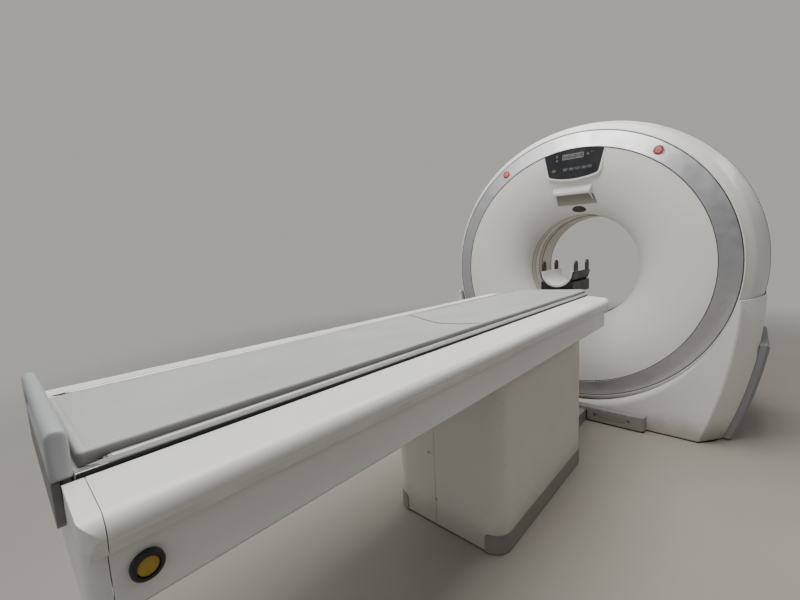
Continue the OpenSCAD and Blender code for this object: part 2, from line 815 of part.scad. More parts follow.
col_x = 120;
col_y = 160;
col_t = 10;
module lift_column() {
    color(mid_grey) translate([-col_x, ped_mid - col_y, 19]) difference() {
        cube([2 * col_x, 2 * col_y, 520]);
        translate([col_t, col_t, -1]) cube([2 * (col_x - col_t), 2 * (col_y - col_t), 600]);
    }
}

// Parts that rise with the table

deck_z = 782;
deck_t = 12;
lift_low = 80;
module lift_inner() {
    w = col_x - col_t - run_gap;
    d = col_y - col_t - run_gap;
    color(silver) translate([-w, ped_mid - d, 19 + lift_low + 8]) difference() {
        cube([2 * w, 2 * d, deck_z - 19 - lift_low - 8 - run_gap]);
        translate([8, 8, -1]) cube([2 * w - 16, 2 * d - 16, 800]);
    }
}
module lift_sleeve() {
    color(warm_white) translate([0, 0, 430]) linear_extrude(deck_z - run_gap - 430)
        difference() {
            ped_outline(ped_wall + sleeve_gap);
            ped_outline(ped_wall + sleeve_gap + 4);
        }
}

chan_x = ped_x + 8;
chan_w = 40;
head_cut_r = head_r;
module head_round(inset) {
    r = head_r - inset;
    translate([0, -table_head - head_r, 0]) union() {
        cylinder(r = r, h = big, $fn = 160);
        translate([-r, -big, 0]) cube([2 * r, big, big]);
    }
}
module table_chassis() {
    y0 = -table_foot + table_wall;
    y1 = -table_head - 150;
    chan_y = -table_foot + foot_cap_l + 4;
    color(mid_grey) union() {
        both_sides() translate([chan_x, chan_y, side_bottom + 14]) difference() {
            cube([chan_w, y1 - chan_y, deck_z + deck_t - side_bottom - 14]);
            translate([6, -1, 6])
                cube([chan_w, y1 - chan_y + 2, deck_z + deck_t - side_bottom - 26]);
        }
        translate([-chan_x - 1, y0, deck_z]) cube([2 * chan_x + 2, y1 - y0, deck_t]);
        both_sides() translate([150, y0 + 20, deck_z + deck_t])
            cube([30, y1 - y0 - 40, cradle_bottom - deck_z - deck_t - run_gap]);
    }
}

// Section of a side rail: flat top, rounded nose and a lip over the side cover
module rail_section() {
    z0 = rail_top - rail_h;
    difference() {
        union() {
            translate([rail_in, rail_top - 12]) square([rail_out - rail_in - nose_r, 12]);
            translate([rail_out - nose_r - 8, z0]) square([nose_r + 8 - 5, rail_h - nose_r]);
            translate([rail_out - nose_r, rail_top - nose_r]) circle(nose_r, $fn = 64);
            translate([rail_out - 12, z0]) square([12 - 5, 20]);
            polygon([[rail_out, rail_top - nose_r], [rail_out - 5, z0],
                     [rail_out - 20, z0], [rail_out - 20, rail_top - nose_r]]);
            translate([rail_in, deck_z + deck_t])
                square([table_wall, rail_top - 2 - deck_z - deck_t]);
        }
        translate([rail_in + table_wall, z0 - 1])
            square([side_x - rail_in - table_wall, rail_h - table_wall + 1]);
    }
}
module rail() {
    intersection() {
        along_y(-table_foot + foot_cap_l, -table_head) rail_section();
        head_round(0);
    }
}
module rail_right() { color(white) rail(); }
module rail_left() { color(white) mirror([1, 0, 0]) rail(); }

module side_section() {
    z1 = rail_top - rail_h - 0.5;
    polygon([[side_x, z1], [side_x, side_bottom + 6], [side_x - 3, side_bottom + 1.5],
             [side_x - 8, side_bottom], [side_x - 40, side_bottom],
             [side_x - 40, side_bottom + table_wall],
             [side_x - 8, side_bottom + table_wall],
             [side_x - table_wall, side_bottom + 8], [side_x - table_wall, z1 + 18],
             [side_x - table_wall + 3.5, z1 + 18], [side_x - table_wall + 3.5, z1]]);
}
release_y = -table_foot + release_in;
module side_cover() {
    along_y(-table_foot + foot_cap_l, -table_head - 152) side_section();
}
module side_cover_right() {
    color(white) difference() {
        side_cover();
        translate([side_x - 30, release_y, release_z]) rotate([0, 90, 0])
            cylinder(d = release_bezel_d - 6, h = 60, $fn = 48);
    }
}
module side_cover_left() { color(white) mirror([1, 0, 0]) side_cover(); }

cap_r = 18;
module cap_plan(w) {
    translate([-w + cap_r, -table_foot]) square([2 * (w - cap_r), 60]);
    translate([-w, -table_foot + cap_r]) square([2 * w, 60 - cap_r]);
    for (s = [-1, 1]) translate([s * (w - cap_r), -table_foot + cap_r]) circle(cap_r, $fn = 48);
}
module foot_cap() {
    y0 = -table_foot;
    y1 = -table_foot + foot_cap_l - 1;
    z1 = rail_top - rail_h;
    color(white) intersection() {
        union() {
            both_sides() along_y(y0, y1) rail_section();
            both_sides() along_y(y0, y1) side_section();
            both_sides() along_y(y0, y1) polygon([
                [side_x - 26, side_bottom], [side_x - 8, side_bottom],
                [side_x - 3, side_bottom + 1.5], [side_x, side_bottom + 6],
                [side_x, z1 + 4], [side_x - 26, z1 + 4]]);
            both_sides() translate([rail_in, y0, side_bottom + 2])
                cube([side_x - rail_in - 1, table_wall, rail_top - side_bottom - 4]);
            translate([-rail_in - 1, y0, side_bottom + 2])
                cube([2 * rail_in + 2, table_wall, cradle_bottom - side_bottom - 6]);
        }
        union() {
            translate([0, 0, z1]) linear_extrude(rail_h + 1) cap_plan(rail_out);
            translate([0, 0, side_bottom - 1]) linear_extrude(z1 - side_bottom + 1.5)
                cap_plan(side_x);
        }
    }
}
module foot_bumper() {
    w = cradle_x - 6;
    z0 = cradle_bottom - 36;
    color(dark) translate([0, -table_foot - run_gap, 0]) rotate([90, 0, 0])
        linear_extrude(9) polygon([[-w, z0 + 68], [w, z0 + 68], [w, z0 + 10], [w - 12, z0],
                                   [-w + 12, z0], [-w, z0 + 10]]);
}
module head_nose() {
    color(white) difference() {
        intersection() {
            translate([-side_x, -table_head - 150, side_bottom])
                cube([2 * side_x, 152, rail_top - rail_h - side_bottom - 0.5]);
            head_round(16);
        }
        intersection() {
            translate([-big, -table_head - 160, side_bottom - 1])
                cube([2 * big, 160, big]);
            translate([-side_x + table_wall, -big, 0])
                cube([2 * (side_x - table_wall), 2 * big, rail_top - rail_h - table_wall]);
            head_round(16 + table_wall);
        }
    }
}

module release_bezel() {
    color(black) translate([side_x, release_y, release_z]) rotate([0, 90, 0]) difference() {
        union() {
            translate([0, 0, run_gap]) rotate_extrude($fn = 64)
                polygon([[0, 0], [release_bezel_d / 2, 0], [release_bezel_d / 2, 6],
                         [release_bezel_d / 2 - 2, 8.4], [release_bezel_d / 2 - 3.5, 8.7],
                         [0, 8.7]]);
            translate([0, 0, -18]) cylinder(d = release_bezel_d - 6 - 2 * run_gap,
                                            h = 19, $fn = 64);
        }
        translate([0, 0, -14]) cylinder(d = release_d + 2 * run_gap, h = 40, $fn = 64);
    }
}
module release_button() {
    color("#c9b02a") translate([side_x - 14 + release_travel + 0.5, release_y, release_z])
        rotate([0, 90, 0]) rotate_extrude($fn = 64)
            polygon([[0, 0], [release_d / 2, 0], [release_d / 2, 16],
                     [release_d / 2 - 1.5, 17.5], [0, 17.5]]);
}

// Parts that slide with the cradle

cradle_foot = table_foot - 14.3;
shell_x = cradle_x - strip_w;
function dish(x, z) = z + 10 * pow(abs(x) / shell_x, 3);
module cradle_outline(y0, y1) {
    r = 60;
    intersection() {
        translate([-big, y0]) square([2 * big, y1 - y0]);
        union() {
            translate([-cradle_x, y0 - 1]) square([2 * cradle_x, y1 - y0 - r + 1]);
            translate([-cradle_x + r, y0 - 1]) square([2 * (cradle_x - r), y1 - y0 + 1]);
            for (s = [-1, 1]) translate([s * (cradle_x - r), y1 - r]) circle(r, $fn = 64);
        }
    }
}
module cradle_shell() {
    n = 14;
    xs = [for (i = [0:n]) -shell_x + run_gap + 2 * (shell_x - run_gap) * i / n];
    color("#b9babb") intersection() {
        along_y(-cradle_foot, -cradle_head) union() {
            polygon(concat(
                [for (x = xs) [x, dish(x, cradle_bottom + 26 - cradle_t)]],
                [for (x = flip(xs)) [x, dish(x, cradle_bottom + 26)]]));
            for (s = [-1, 1]) translate([s * 165 - 20, cradle_bottom]) square([40, 22]);
        }
        translate([0, 0, 700]) linear_extrude(300) cradle_outline(-cradle_foot, -cradle_head);
    }
}
module cradle_strip() {
    y1 = -cradle_head - 60;
    bar_y = -table_foot + bar_in;
    difference() {
        union() {
            along_y(-cradle_foot, y1) polygon([
                [shell_x, cradle_bottom + 6], [cradle_x - 3, cradle_bottom + 6],
                [cradle_x, cradle_bottom + 9], [cradle_x, strip_top - 1.5],
                [cradle_x - 1.5, strip_top], [shell_x, strip_top]]);
            along_y(bar_y + 5, y1) polygon([
                [cradle_x - 11, strip_top - 1], [cradle_x - 1, strip_top - 1],
                [cradle_x - 1, bar_top - 2], [cradle_x - 3, bar_top],
                [cradle_x - 9, bar_top], [cradle_x - 11, bar_top - 2]]);
            translate([cradle_x - 6, bar_y + 5, strip_top - 1])
                cylinder(r = 5, h = bar_top - strip_top, $fn = 40);
        }
        along_y(-cradle_foot - 1, bar_y - 8) translate([cradle_x - 6, strip_top - 5])
            square([3, 6]);
        along_y(-cradle_foot - 1, bar_y - 8) translate([cradle_x - 12, strip_top - 5])
            square([2.5, 6]);
        along_y(-cradle_foot - 1, y1 + 1) translate([cradle_x - 4, cradle_bottom + 22])
            square([5, 5]);
    }
}
module cradle_rail_right() { color(silver) cradle_strip(); }
module cradle_rail_left() { color(silver) mirror([1, 0, 0]) cradle_strip(); }

module cradle_pad() {
    n = 12;
    w = cradle_x - 12;
    z0 = strip_top + run_gap;
    xs = [for (i = [0:n]) -w + 2 * w * i / n];
    color("#9d9fa0") intersection() {
        along_y(-cradle_foot + 5, -cradle_head - 4) union() {
            polygon(concat([[-w, z0], [-shell_x + 1.5, z0]],
                [for (x = xs) if (abs(x) < shell_x - 2)
                    [x, dish(x, cradle_bottom + 26) + run_gap]],
                [[shell_x - 1.5, z0], [w, z0], [w, z0 + 8], [w - 4, z0 + pad_t - 3],
                 [w - 14, z0 + pad_t], [-w + 14, z0 + pad_t], [-w + 4, z0 + pad_t - 3],
                 [-w, z0 + 8]]));
        }
        translate([0, 0, 700]) linear_extrude(300)
            cradle_outline(-cradle_foot - 20, -cradle_head - 4);
    }
}

hoop_x = 218;
module foot_handle() {
    r = handle_t / 2;
    y = -cradle_foot - run_gap - r;
    z0 = rail_top + 3;
    color("#8f949b") difference() {
        union() {
            translate([-hoop_x, y, handle_top - r]) rotate([0, 90, 0])
                cylinder(r = r, h = 2 * hoop_x, $fn = 64);
            translate([-hoop_x, y - r, z0]) cube([2 * hoop_x, handle_t, handle_top - r - z0]);
            translate([-hoop_x + 20, -table_foot + 0.5, cradle_bottom + 2])
                cube([2 * hoop_x - 40, table_foot - 0.5 - cradle_foot - run_gap,
                      z0 - cradle_bottom - 1]);
        }
        translate([-hoop_x + 34, y - r - 1, z0 + 13])
            cube([2 * hoop_x - 68, handle_t + 2, handle_top - handle_t - z0 - 13]);
    }
}

hold_y = -cradle_head + holder_reach;
module holder_bracket() {
    color(dark) union() {
        translate([-60, -cradle_head, cradle_bottom + 6]) cube([120, 40, 20]);
        translate([-45, -cradle_head + 20, cradle_bottom + 6]) cube([90, holder_reach + 100, 16]);
        translate([-60, hold_y - 6, cradle_bottom + 8]) cube([120, holder_l - 40, 14]);
    }
}
carrier_r = holder_r + holder_pad_t + run_gap;
module holder_carrier() {
    r = carrier_r + holder_t;
    base_z = cradle_bottom + 22;
    color(black) along_y(hold_y, hold_y + holder_l) difference() {
        union() {
            translate([0, holder_z]) circle(r, $fn = 96);
            translate([-r + 4, base_z]) square([2 * r - 8, holder_z - base_z - 60]);
        }
        translate([0, holder_z]) circle(carrier_r, $fn = 96);
        translate([-big, holder_z]) square([2 * big, big]);
    }
}
module holder_liner() {
    color("#c9ccd2") along_y(hold_y - 4, hold_y + holder_l + 4) difference() {
        translate([0, holder_z]) circle(holder_r + holder_pad_t, $fn = 96);
        translate([0, holder_z]) circle(holder_r, $fn = 96);
        translate([-big, holder_z + 3]) square([2 * big, big]);
    }
}
module holder_lugs() {
    r = carrier_r + holder_t;
    color(black) both_sides() for (y = [20, holder_l - 75])
        translate([r - holder_t, hold_y + y, holder_z + 3.3]) rotate([90, 0, 90])
            linear_extrude(holder_t) union() {
                square([55, 34]);
                translate([27.5, 34]) circle(27.5, $fn = 40);
            }
}

frame_right();
frame_left();
beam_front();
beam_rear();
levelling_feet();
base_cover_front();
base_cover_rear();
side_panel_right();
side_panel_left();
plinth();
floor_link();
table_base();
lift_column();
pedestal_cover();
pedestal_kick();
donut_cover();
trim_ring();
barrel_front();
cover_rear();
bore_liner_front();
bore_ring();
scan_window();
bore_liner_rear();
control_panel();
display_window();
laser_window();
tilt_frame();
stop_socket_left();
stop_socket_right();
stop_button_left();
stop_button_right();
rotor_frame();
xray_tube();
detector_arc();
power_units();
slip_ring();
lift_sleeve();
lift_inner();
table_chassis();
rail_right();
rail_left();
side_cover_right();
side_cover_left();
foot_cap();
foot_bumper();
head_nose();
release_bezel();
release_button();
cradle_shell();
cradle_rail_right();
cradle_rail_left();
cradle_pad();
foot_handle();
holder_bracket();
holder_carrier();
holder_liner();
holder_lugs();
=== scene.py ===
import bpy, bmesh, math
from mathutils import Vector, Matrix, noise


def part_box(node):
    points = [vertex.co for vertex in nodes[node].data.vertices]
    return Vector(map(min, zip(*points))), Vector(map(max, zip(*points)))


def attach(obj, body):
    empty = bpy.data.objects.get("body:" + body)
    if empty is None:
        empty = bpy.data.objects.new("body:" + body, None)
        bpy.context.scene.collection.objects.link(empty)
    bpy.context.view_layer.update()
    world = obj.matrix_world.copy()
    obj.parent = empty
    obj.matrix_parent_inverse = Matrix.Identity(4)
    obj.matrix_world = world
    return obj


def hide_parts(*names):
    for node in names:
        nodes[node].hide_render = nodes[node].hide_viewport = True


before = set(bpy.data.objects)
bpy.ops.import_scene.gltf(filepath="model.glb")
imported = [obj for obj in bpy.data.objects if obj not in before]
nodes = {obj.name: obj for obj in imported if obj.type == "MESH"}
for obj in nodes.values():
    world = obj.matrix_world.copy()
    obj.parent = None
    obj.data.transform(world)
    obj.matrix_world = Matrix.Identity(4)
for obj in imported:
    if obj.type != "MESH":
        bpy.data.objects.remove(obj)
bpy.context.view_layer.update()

# Centre of the bore, in metres
ISO = Vector((0.0, 0.0, 0.960))
scene = bpy.context.scene


# Material helpers

class Mat:
    """A Principled material and short calls that add nodes to it."""

    def __init__(self, name, colour, rough=0.5, metal=0.0, spec=0.5):
        self.m = bpy.data.materials.new(name)
        self.m.use_nodes = True
        self.t = self.m.node_tree
        self.t.nodes.clear()
        out = self.t.nodes.new("ShaderNodeOutputMaterial")
        self.b = self.t.nodes.new("ShaderNodeBsdfPrincipled")
        self.t.links.new(self.b.outputs[0], out.inputs[0])
        self.b.inputs["Base Color"].default_value = (*colour, 1)
        self.b.inputs["Roughness"].default_value = rough
        self.b.inputs["Metallic"].default_value = metal
        self.b.inputs["Specular IOR Level"].default_value = spec
        tc = self.t.nodes.new("ShaderNodeTexCoord")
        self.pos = tc.outputs["Object"]

    def link(self, a, b):
        if isinstance(a, (int, float)):
            b.default_value = a
        elif isinstance(a, tuple):
            b.default_value = (*a, 1) if len(b.default_value) == 4 else a
        else:
            self.t.links.new(a, b)

    def scaled(self, sx, sy, sz, rot=(0, 0, 0)):
        n = self.t.nodes.new("ShaderNodeMapping")
        n.inputs["Scale"].default_value = (sx, sy, sz)
        n.inputs["Rotation"].default_value = rot
        self.t.links.new(self.pos, n.inputs["Vector"])
        return n.outputs[0]

    def noise(self, scale, detail=2.0, rough=0.5, vec=None, distort=0.0):
        n = self.t.nodes.new("ShaderNodeTexNoise")
        n.inputs["Scale"].default_value = scale
        n.inputs["Detail"].default_value = detail
        n.inputs["Roughness"].default_value = rough
        n.inputs["Distortion"].default_value = distort
        self.t.links.new(vec or self.pos, n.inputs["Vector"])
        return n.outputs["Fac"]

    def voronoi(self, scale):
        n = self.t.nodes.new("ShaderNodeTexVoronoi")
        n.inputs["Scale"].default_value = scale
        self.t.links.new(self.pos, n.inputs["Vector"])
        return n.outputs["Distance"]

    def math(self, op, a, b):
        n = self.t.nodes.new("ShaderNodeMath")
        n.operation = op
        self.link(a, n.inputs[0])
        self.link(b, n.inputs[1])
        return n.outputs[0]

    def map(self, fac, lo, hi, to_lo=0.0, to_hi=1.0):
        n = self.t.nodes.new("ShaderNodeMapRange")
        n.interpolation_type = "SMOOTHSTEP"
        self.link(fac, n.inputs["Value"])
        n.inputs["From Min"].default_value = lo
        n.inputs["From Max"].default_value = hi
        n.inputs["To Min"].default_value = to_lo
        n.inputs["To Max"].default_value = to_hi
        return n.outputs[0]

    def axis(self, which):
        n = self.t.nodes.new("ShaderNodeSeparateXYZ")
        self.t.links.new(self.pos, n.inputs[0])
        return n.outputs[which]

    def length(self, *parts):
        n = self.t.nodes.new("ShaderNodeCombineXYZ")
        for i, p in enumerate(parts):
            self.link(p, n.inputs[i])
        v = self.t.nodes.new("ShaderNodeVectorMath")
        v.operation = "LENGTH"
        self.t.links.new(n.outputs[0], v.inputs[0])
        return v.outputs["Value"]

    def normal(self, which):
        n = self.t.nodes.new("ShaderNodeNewGeometry")
        s = self.t.nodes.new("ShaderNodeSeparateXYZ")
        self.t.links.new(n.outputs["Normal"], s.inputs[0])
        return s.outputs[which]

    def mix(self, fac, a, b):
        n = self.t.nodes.new("ShaderNodeMix")
        n.data_type = "RGBA"
        self.link(fac, n.inputs[0])
        self.link(a, n.inputs[6])
        self.link(b, n.inputs[7])
        return n.outputs[2]

    def base(self, socket):
        self.t.links.new(socket, self.b.inputs["Base Color"])

    def rough(self, socket):
        self.t.links.new(socket, self.b.inputs["Roughness"])

    def bump(self, height, strength=0.1, distance=0.001):
        n = self.t.nodes.new("ShaderNodeBump")
        n.inputs["Strength"].default_value = strength
        n.inputs["Distance"].default_value = distance
        self.t.links.new(height, n.inputs["Height"])
        old = self.b.inputs["Normal"].links
        if old:
            self.t.links.new(old[0].from_socket, n.inputs["Normal"])
        self.t.links.new(n.outputs[0], self.b.inputs["Normal"])


def tint(c, k):
    return tuple(min(1.0, v * k) for v in c)


def paint(name, colour, rough=0.42, floor_dirt=0.0, scuffs=0.3, peel=0.12, warm=(0.55, 0.50, 0.42)):
    """Moulded or sprayed cover: faint blotches, smudged gloss, thin scuffs and orange peel.

    floor_dirt adds grime near the floor, and warm is the colour of the scuffs.
    """
    m = Mat(name, colour, rough)
    blotch = m.noise(1.7, 3, 0.55)
    col = m.mix(m.map(blotch, 0.3, 0.7, 0, 1), tint(colour, 0.965), tint(colour, 1.02))
    speck = m.noise(46, 4, 0.6)
    col = m.mix(m.map(speck, 0.56, 0.72, 0, 0.28), col, tint(colour, 0.9))
    streak = m.noise(9, 5, 0.7, m.scaled(1.0, 1.0, 9.0, rot=(0.5, 0.3, 0.2)), 0.6)
    line = m.map(streak, 0.63, 0.68, 0, scuffs)
    gate = m.map(m.noise(3.1, 2, 0.5), 0.48, 0.62, 0, 1)
    col = m.mix(m.math("MULTIPLY", line, gate), col, warm)
    if floor_dirt:
        z = m.axis(2)
        low = m.math("ADD", z, m.math("MULTIPLY", m.noise(12, 4, 0.6), -0.09))
        col = m.mix(m.map(low, -0.04, 0.11, floor_dirt, 0.0), col, (0.33, 0.29, 0.24))
    m.base(col)
    m.rough(m.map(m.noise(5.5, 4, 0.6, distort=0.4), 0.3, 0.7, rough - 0.06, rough + 0.1))
    m.bump(m.noise(620, 2, 0.5), peel, 0.0004)
    m.bump(m.noise(14, 2, 0.5), 0.05, 0.002)
    return m


def metal(name, colour, rough=0.35, grain=(1, 1, 1), strength=0.1, metallic=0.85, mottle=0.12):
    m = Mat(name, colour, rough, metallic)
    g = m.noise(420, 3, 0.6, m.scaled(*grain))
    col = m.mix(m.map(g, 0.35, 0.65), tint(colour, 1 - mottle), tint(colour, 1 + mottle))
    col = m.mix(m.map(m.noise(7, 4, 0.6), 0.35, 0.7, 0, 0.5), col, tint(colour, 0.86))
    m.base(col)
    m.rough(m.map(m.noise(11, 4, 0.6), 0.3, 0.7, rough - 0.07, rough + 0.1))
    m.bump(g, strength, 0.0004)
    return m


def plastic(name, colour, rough=0.45, grain=900, strength=0.12, dust=0.15):
    m = Mat(name, colour, rough)
    col = m.mix(m.map(m.noise(38, 4, 0.65), 0.4, 0.7), colour, tint(colour, 1.25))
    col = m.mix(m.map(m.noise(4.0, 4, 0.6), 0.45, 0.75, 0, dust), col, (0.42, 0.39, 0.35))
    m.base(col)
    m.rough(m.map(m.noise(8, 3, 0.6), 0.3, 0.7, rough - 0.05, rough + 0.12))
    m.bump(m.voronoi(grain), strength, 0.0003)
    return m


def give(ob, material):
    ob.data.materials.clear()
    ob.data.materials.append(material.m)


def put(material, *names):
    for n in names:
        give(nodes[n], material)


# Materials

WHITE = (0.76, 0.75, 0.715)
cover_white = paint("cover_white", WHITE, 0.36, scuffs=0.10)
base_white = paint("base_white", WHITE, 0.38, floor_dirt=0.75, scuffs=0.3)
table_white = paint("table_white", (0.77, 0.765, 0.735), 0.36, scuffs=0.42)
# Pedestal white is darker and yellower than the other covers: partly yellowed plastic, partly painted shade
# from the table top above
ped_white = paint("pedestal_white", (0.66, 0.635, 0.57), 0.42, floor_dirt=0.6, scuffs=0.35)
liner_white = paint("bore_liner", (0.66, 0.63, 0.57), 0.34, scuffs=0.1)
light_ring = paint("bore_light_ring", (0.80, 0.79, 0.75), 0.32, scuffs=0.05)
window_cream = paint("scan_window_film", (0.62, 0.56, 0.45), 0.28, scuffs=0.05)
side_grey = paint("side_grey", (0.235, 0.235, 0.245), 0.42, floor_dirt=0.6, scuffs=0.25,
                  warm=(0.16, 0.15, 0.15))
plinth_grey = paint("plinth_grey", (0.26, 0.26, 0.265), 0.5, floor_dirt=0.8, scuffs=0.55,
                    warm=(0.10, 0.10, 0.10))
kick_grey = paint("kick_grey", (0.20, 0.195, 0.19), 0.5, floor_dirt=0.6, scuffs=0.3, warm=(0.36, 0.34, 0.3))
handle_grey = paint("handle_grey", (0.36, 0.375, 0.385), 0.34, scuffs=0.35, warm=(0.22, 0.22, 0.22))
silver = metal("silver_trim", (0.56, 0.56, 0.58), 0.34, (1, 1, 1), 0.06, 0.9, 0.05)
black_gloss = plastic("panel_gloss", (0.012, 0.013, 0.016), 0.16, 1500, 0.02, 0.03)
lcd_glass = plastic("display_glass", (0.014, 0.015, 0.018), 0.12, 1500, 0.01, 0.02)
eye_window = plastic("eye_window", (0.035, 0.022, 0.015), 0.10, 1500, 0.01, 0.02)
black_rubber_and_shade = plastic("black_rubber_and_shade", (0.010, 0.0098, 0.0095), 0.62, 700, 0.2, 0.03)
black_plastic = plastic("black_plastic", (0.008, 0.008, 0.009), 0.34, 900, 0.12, 0.015)
yellow_plastic = plastic("yellow_plastic", (0.40, 0.27, 0.022), 0.42, 700, 0.1, 0.12)
red_plastic = plastic("red_plastic", (0.50, 0.10, 0.10), 0.34, 800, 0.08, 0.05)
socket_red = plastic("socket_rim", (0.20, 0.03, 0.035), 0.4, 800, 0.08, 0.05)
steel = metal("dark_steel", (0.17, 0.17, 0.18), 0.42, (1, 1, 1), 0.14, 0.8)
bright_steel = metal("bright_steel", (0.52, 0.51, 0.50), 0.28, (1, 1, 6), 0.1, 0.95)
cast_grey = paint("frame_paint", (0.24, 0.245, 0.25), 0.55, floor_dirt=0.4, scuffs=0.3, peel=0.3)
copper = metal("slip_tracks", (0.58, 0.33, 0.17), 0.3, (1, 1, 1), 0.05, 0.95)
accessory = metal("strip_light", (0.55, 0.56, 0.55), 0.4, (1, 8, 8), 0.1, 0.5)
pale_foam = paint("holder_liner", (0.60, 0.60, 0.58), 0.7, scuffs=0.2, peel=0.5)

put(cover_white, "donut_cover", "barrel_front", "cover_rear")
put(base_white, "base_cover_front", "base_cover_rear")
put(side_grey, "side_panel_right", "side_panel_left")
put(plinth_grey, "plinth")
put(kick_grey, "pedestal_kick")
put(ped_white, "pedestal_cover")
put(liner_white, "bore_liner_front", "bore_liner_rear")
put(light_ring, "bore_ring")
put(window_cream, "scan_window")
put(silver, "trim_ring")
put(black_gloss, "control_panel")
put(lcd_glass, "display_window")
put(eye_window, "laser_window")
put(socket_red, "stop_socket_left", "stop_socket_right")
put(red_plastic, "stop_button_left", "stop_button_right")
put(table_white, "rail_right", "rail_left", "side_cover_right", "side_cover_left", "foot_cap", "head_nose")
put(black_plastic, "release_bezel", "holder_carrier", "holder_lugs", "holder_bracket")
put(yellow_plastic, "release_button")
put(handle_grey, "foot_handle")
put(kick_grey, "foot_bumper")
put(table_white, "cradle_shell")
put(accessory, "cradle_rail_right", "cradle_rail_left")
put(pale_foam, "holder_liner")
put(cast_grey, "frame_right", "frame_left", "beam_front", "beam_rear", "tilt_frame",
    "rotor_frame", "table_base", "table_chassis", "floor_link")
put(plastic("sleeve_grey", (0.21, 0.21, 0.215), 0.5, 600, 0.1, 0.1), "lift_sleeve")
put(bright_steel, "lift_column", "lift_inner", "xray_tube", "power_units")
put(steel, "levelling_feet", "detector_arc")
put(copper, "slip_ring")


def wear_and_shade_band(m, z0, z1, scale, level, colour, amount=0.9, soft=0.03):
    """A band of one colour between two heights, where the noise passes a level: used for worn chips on the
    plinth and for painted shade under the rail nose.
    """
    old = m.b.inputs["Base Color"].links[0].from_socket
    z = m.axis(2)
    band = m.math("MULTIPLY", m.map(z, z0 - 0.002, z0), m.map(z, z1, z1 + 0.002, 1, 0))
    spots = m.map(m.noise(scale, 4, 0.65), level, level + soft, 0, amount)
    m.base(m.mix(m.math("MULTIPLY", band, spots), old, colour))


plinth_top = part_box("plinth")[1].z
wear_and_shade_band(plinth_grey, plinth_top - 0.006, plinth_top, 55, 0.62, (0.60, 0.58, 0.55))
rail_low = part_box("rail_right")[0].z
# Painted shade: a soft warm-brown band along the low edge of the rail nose
wear_and_shade_band(table_white, rail_low - 0.004, rail_low + 0.012, 9, 0.30, (0.40, 0.35, 0.27), 0.35, 0.5)


def paint_shade_below(m, colour):
    """Painted shade: warms and darkens the faces that look down."""
    old = m.b.inputs["Base Color"].links[0].from_socket
    down = m.math("MULTIPLY", m.normal(2), -1.0)
    m.base(m.mix(m.map(down, 0.05, 0.65, 0, 0.7), old, colour))


# Painted shade on the down-facing faces of the table and the base covers
paint_shade_below(table_white, (0.46, 0.415, 0.34))
paint_shade_below(base_white, (0.50, 0.46, 0.39))


# Mesh helpers

def mesh_object(name, verts, faces, material):
    me = bpy.data.meshes.new(name)
    me.from_pydata([tuple(v) for v in verts], [], faces)
    me.update()
    ob = bpy.data.objects.new(name, me)
    scene.collection.objects.link(ob)
    give(ob, material)
    me.shade_smooth()
    return ob


def bm_object(name, bm, material, smooth=True):
    me = bpy.data.meshes.new(name)
    bmesh.ops.recalc_face_normals(bm, faces=bm.faces)
    bm.to_mesh(me)
    bm.free()
    ob = bpy.data.objects.new(name, me)
    scene.collection.objects.link(ob)
    give(ob, material)
    if smooth:
        me.shade_smooth()
    return ob


# Softened edges on CAD pieces

def soften(width, *names):
    for n in names:
        o = nodes[n]
        w = o.modifiers.new("join", "WELD")
        w.merge_threshold = 0.00002
        b = o.modifiers.new("edge", "BEVEL")
        b.width = width
        b.segments = 2
        b.limit_method = "ANGLE"
        b.angle_limit = math.radians(34)
        b.use_clamp_overlap = False
        o.modifiers.new("shade", "WEIGHTED_NORMAL")


soften(0.0014, "foot_bumper", "plinth", "side_panel_right", "side_panel_left")
soften(0.0008, "cradle_rail_right", "cradle_rail_left")


# Places on the gantry

TURN = math.radians(1.5)


def face(x, r, a):
    """x to the right and r up from the bore centre, a forward, all turned about the bore."""
    c, s = math.cos(TURN), math.sin(TURN)
    return Vector((x * c + r * s, -a, ISO.z - x * s + r * c))


def plate(name, outline, a0, a1, material, body="drum", hole=None, at=face):
    """A flat plate with its outline in x and r, between two forward distances."""
    n = len(outline)
    if hole:
        loops = [[at(x, r, a) for x, r in pts] for a in (a0, a1) for pts in (outline, hole)]
        verts = [v for loop in loops for v in loop]
        faces = []
        for i in range(n):
            j = (i + 1) % n
            o0, h0, o1, h1 = 0, n, 2 * n, 3 * n
            faces += [(o1 + i, o1 + j, h1 + j, h1 + i), (o0 + i, h0 + i, h0 + j, o0 + j),
                      (o0 + i, o0 + j, o1 + j, o1 + i), (h0 + i, h1 + i, h1 + j, h0 + j)]
    else:
        verts = [at(x, r, a) for a in (a0, a1) for x, r in outline]
        faces = [tuple(range(n)), tuple(range(2 * n - 1, n - 1, -1))]
        faces += [(i, i + n, (i + 1) % n + n, (i + 1) % n) for i in range(n)]
    bm = bmesh.new()
    vs = [bm.verts.new(v) for v in verts]
    for f in faces:
        bm.faces.new([vs[i] for i in f])
    ob = bm_object(name, bm, material, smooth=False)
    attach(ob, body)


def round_pts(cx, cy, rx, ry=None, n=28):
    ry = ry or rx
    angles = [2 * math.pi * i / n for i in range(n)]
    return [(cx + rx * math.cos(q), cy + ry * math.sin(q)) for q in angles]


def box_pts(x0, y0, x1, y1, r=0.0, n=4):
    if not r:
        return [(x0, y0), (x1, y0), (x1, y1), (x0, y1)]
    pts = []
    for cx, cy, q in ((x1 - r, y0 + r, -90), (x1 - r, y1 - r, 0), (x0 + r, y1 - r, 90), (x0 + r, y0 + r, 180)):
        for i in range(n + 1):
            t = math.radians(q + 90 * i / n)
            pts.append((cx + r * math.cos(t), cy + r * math.sin(t)))
    return pts


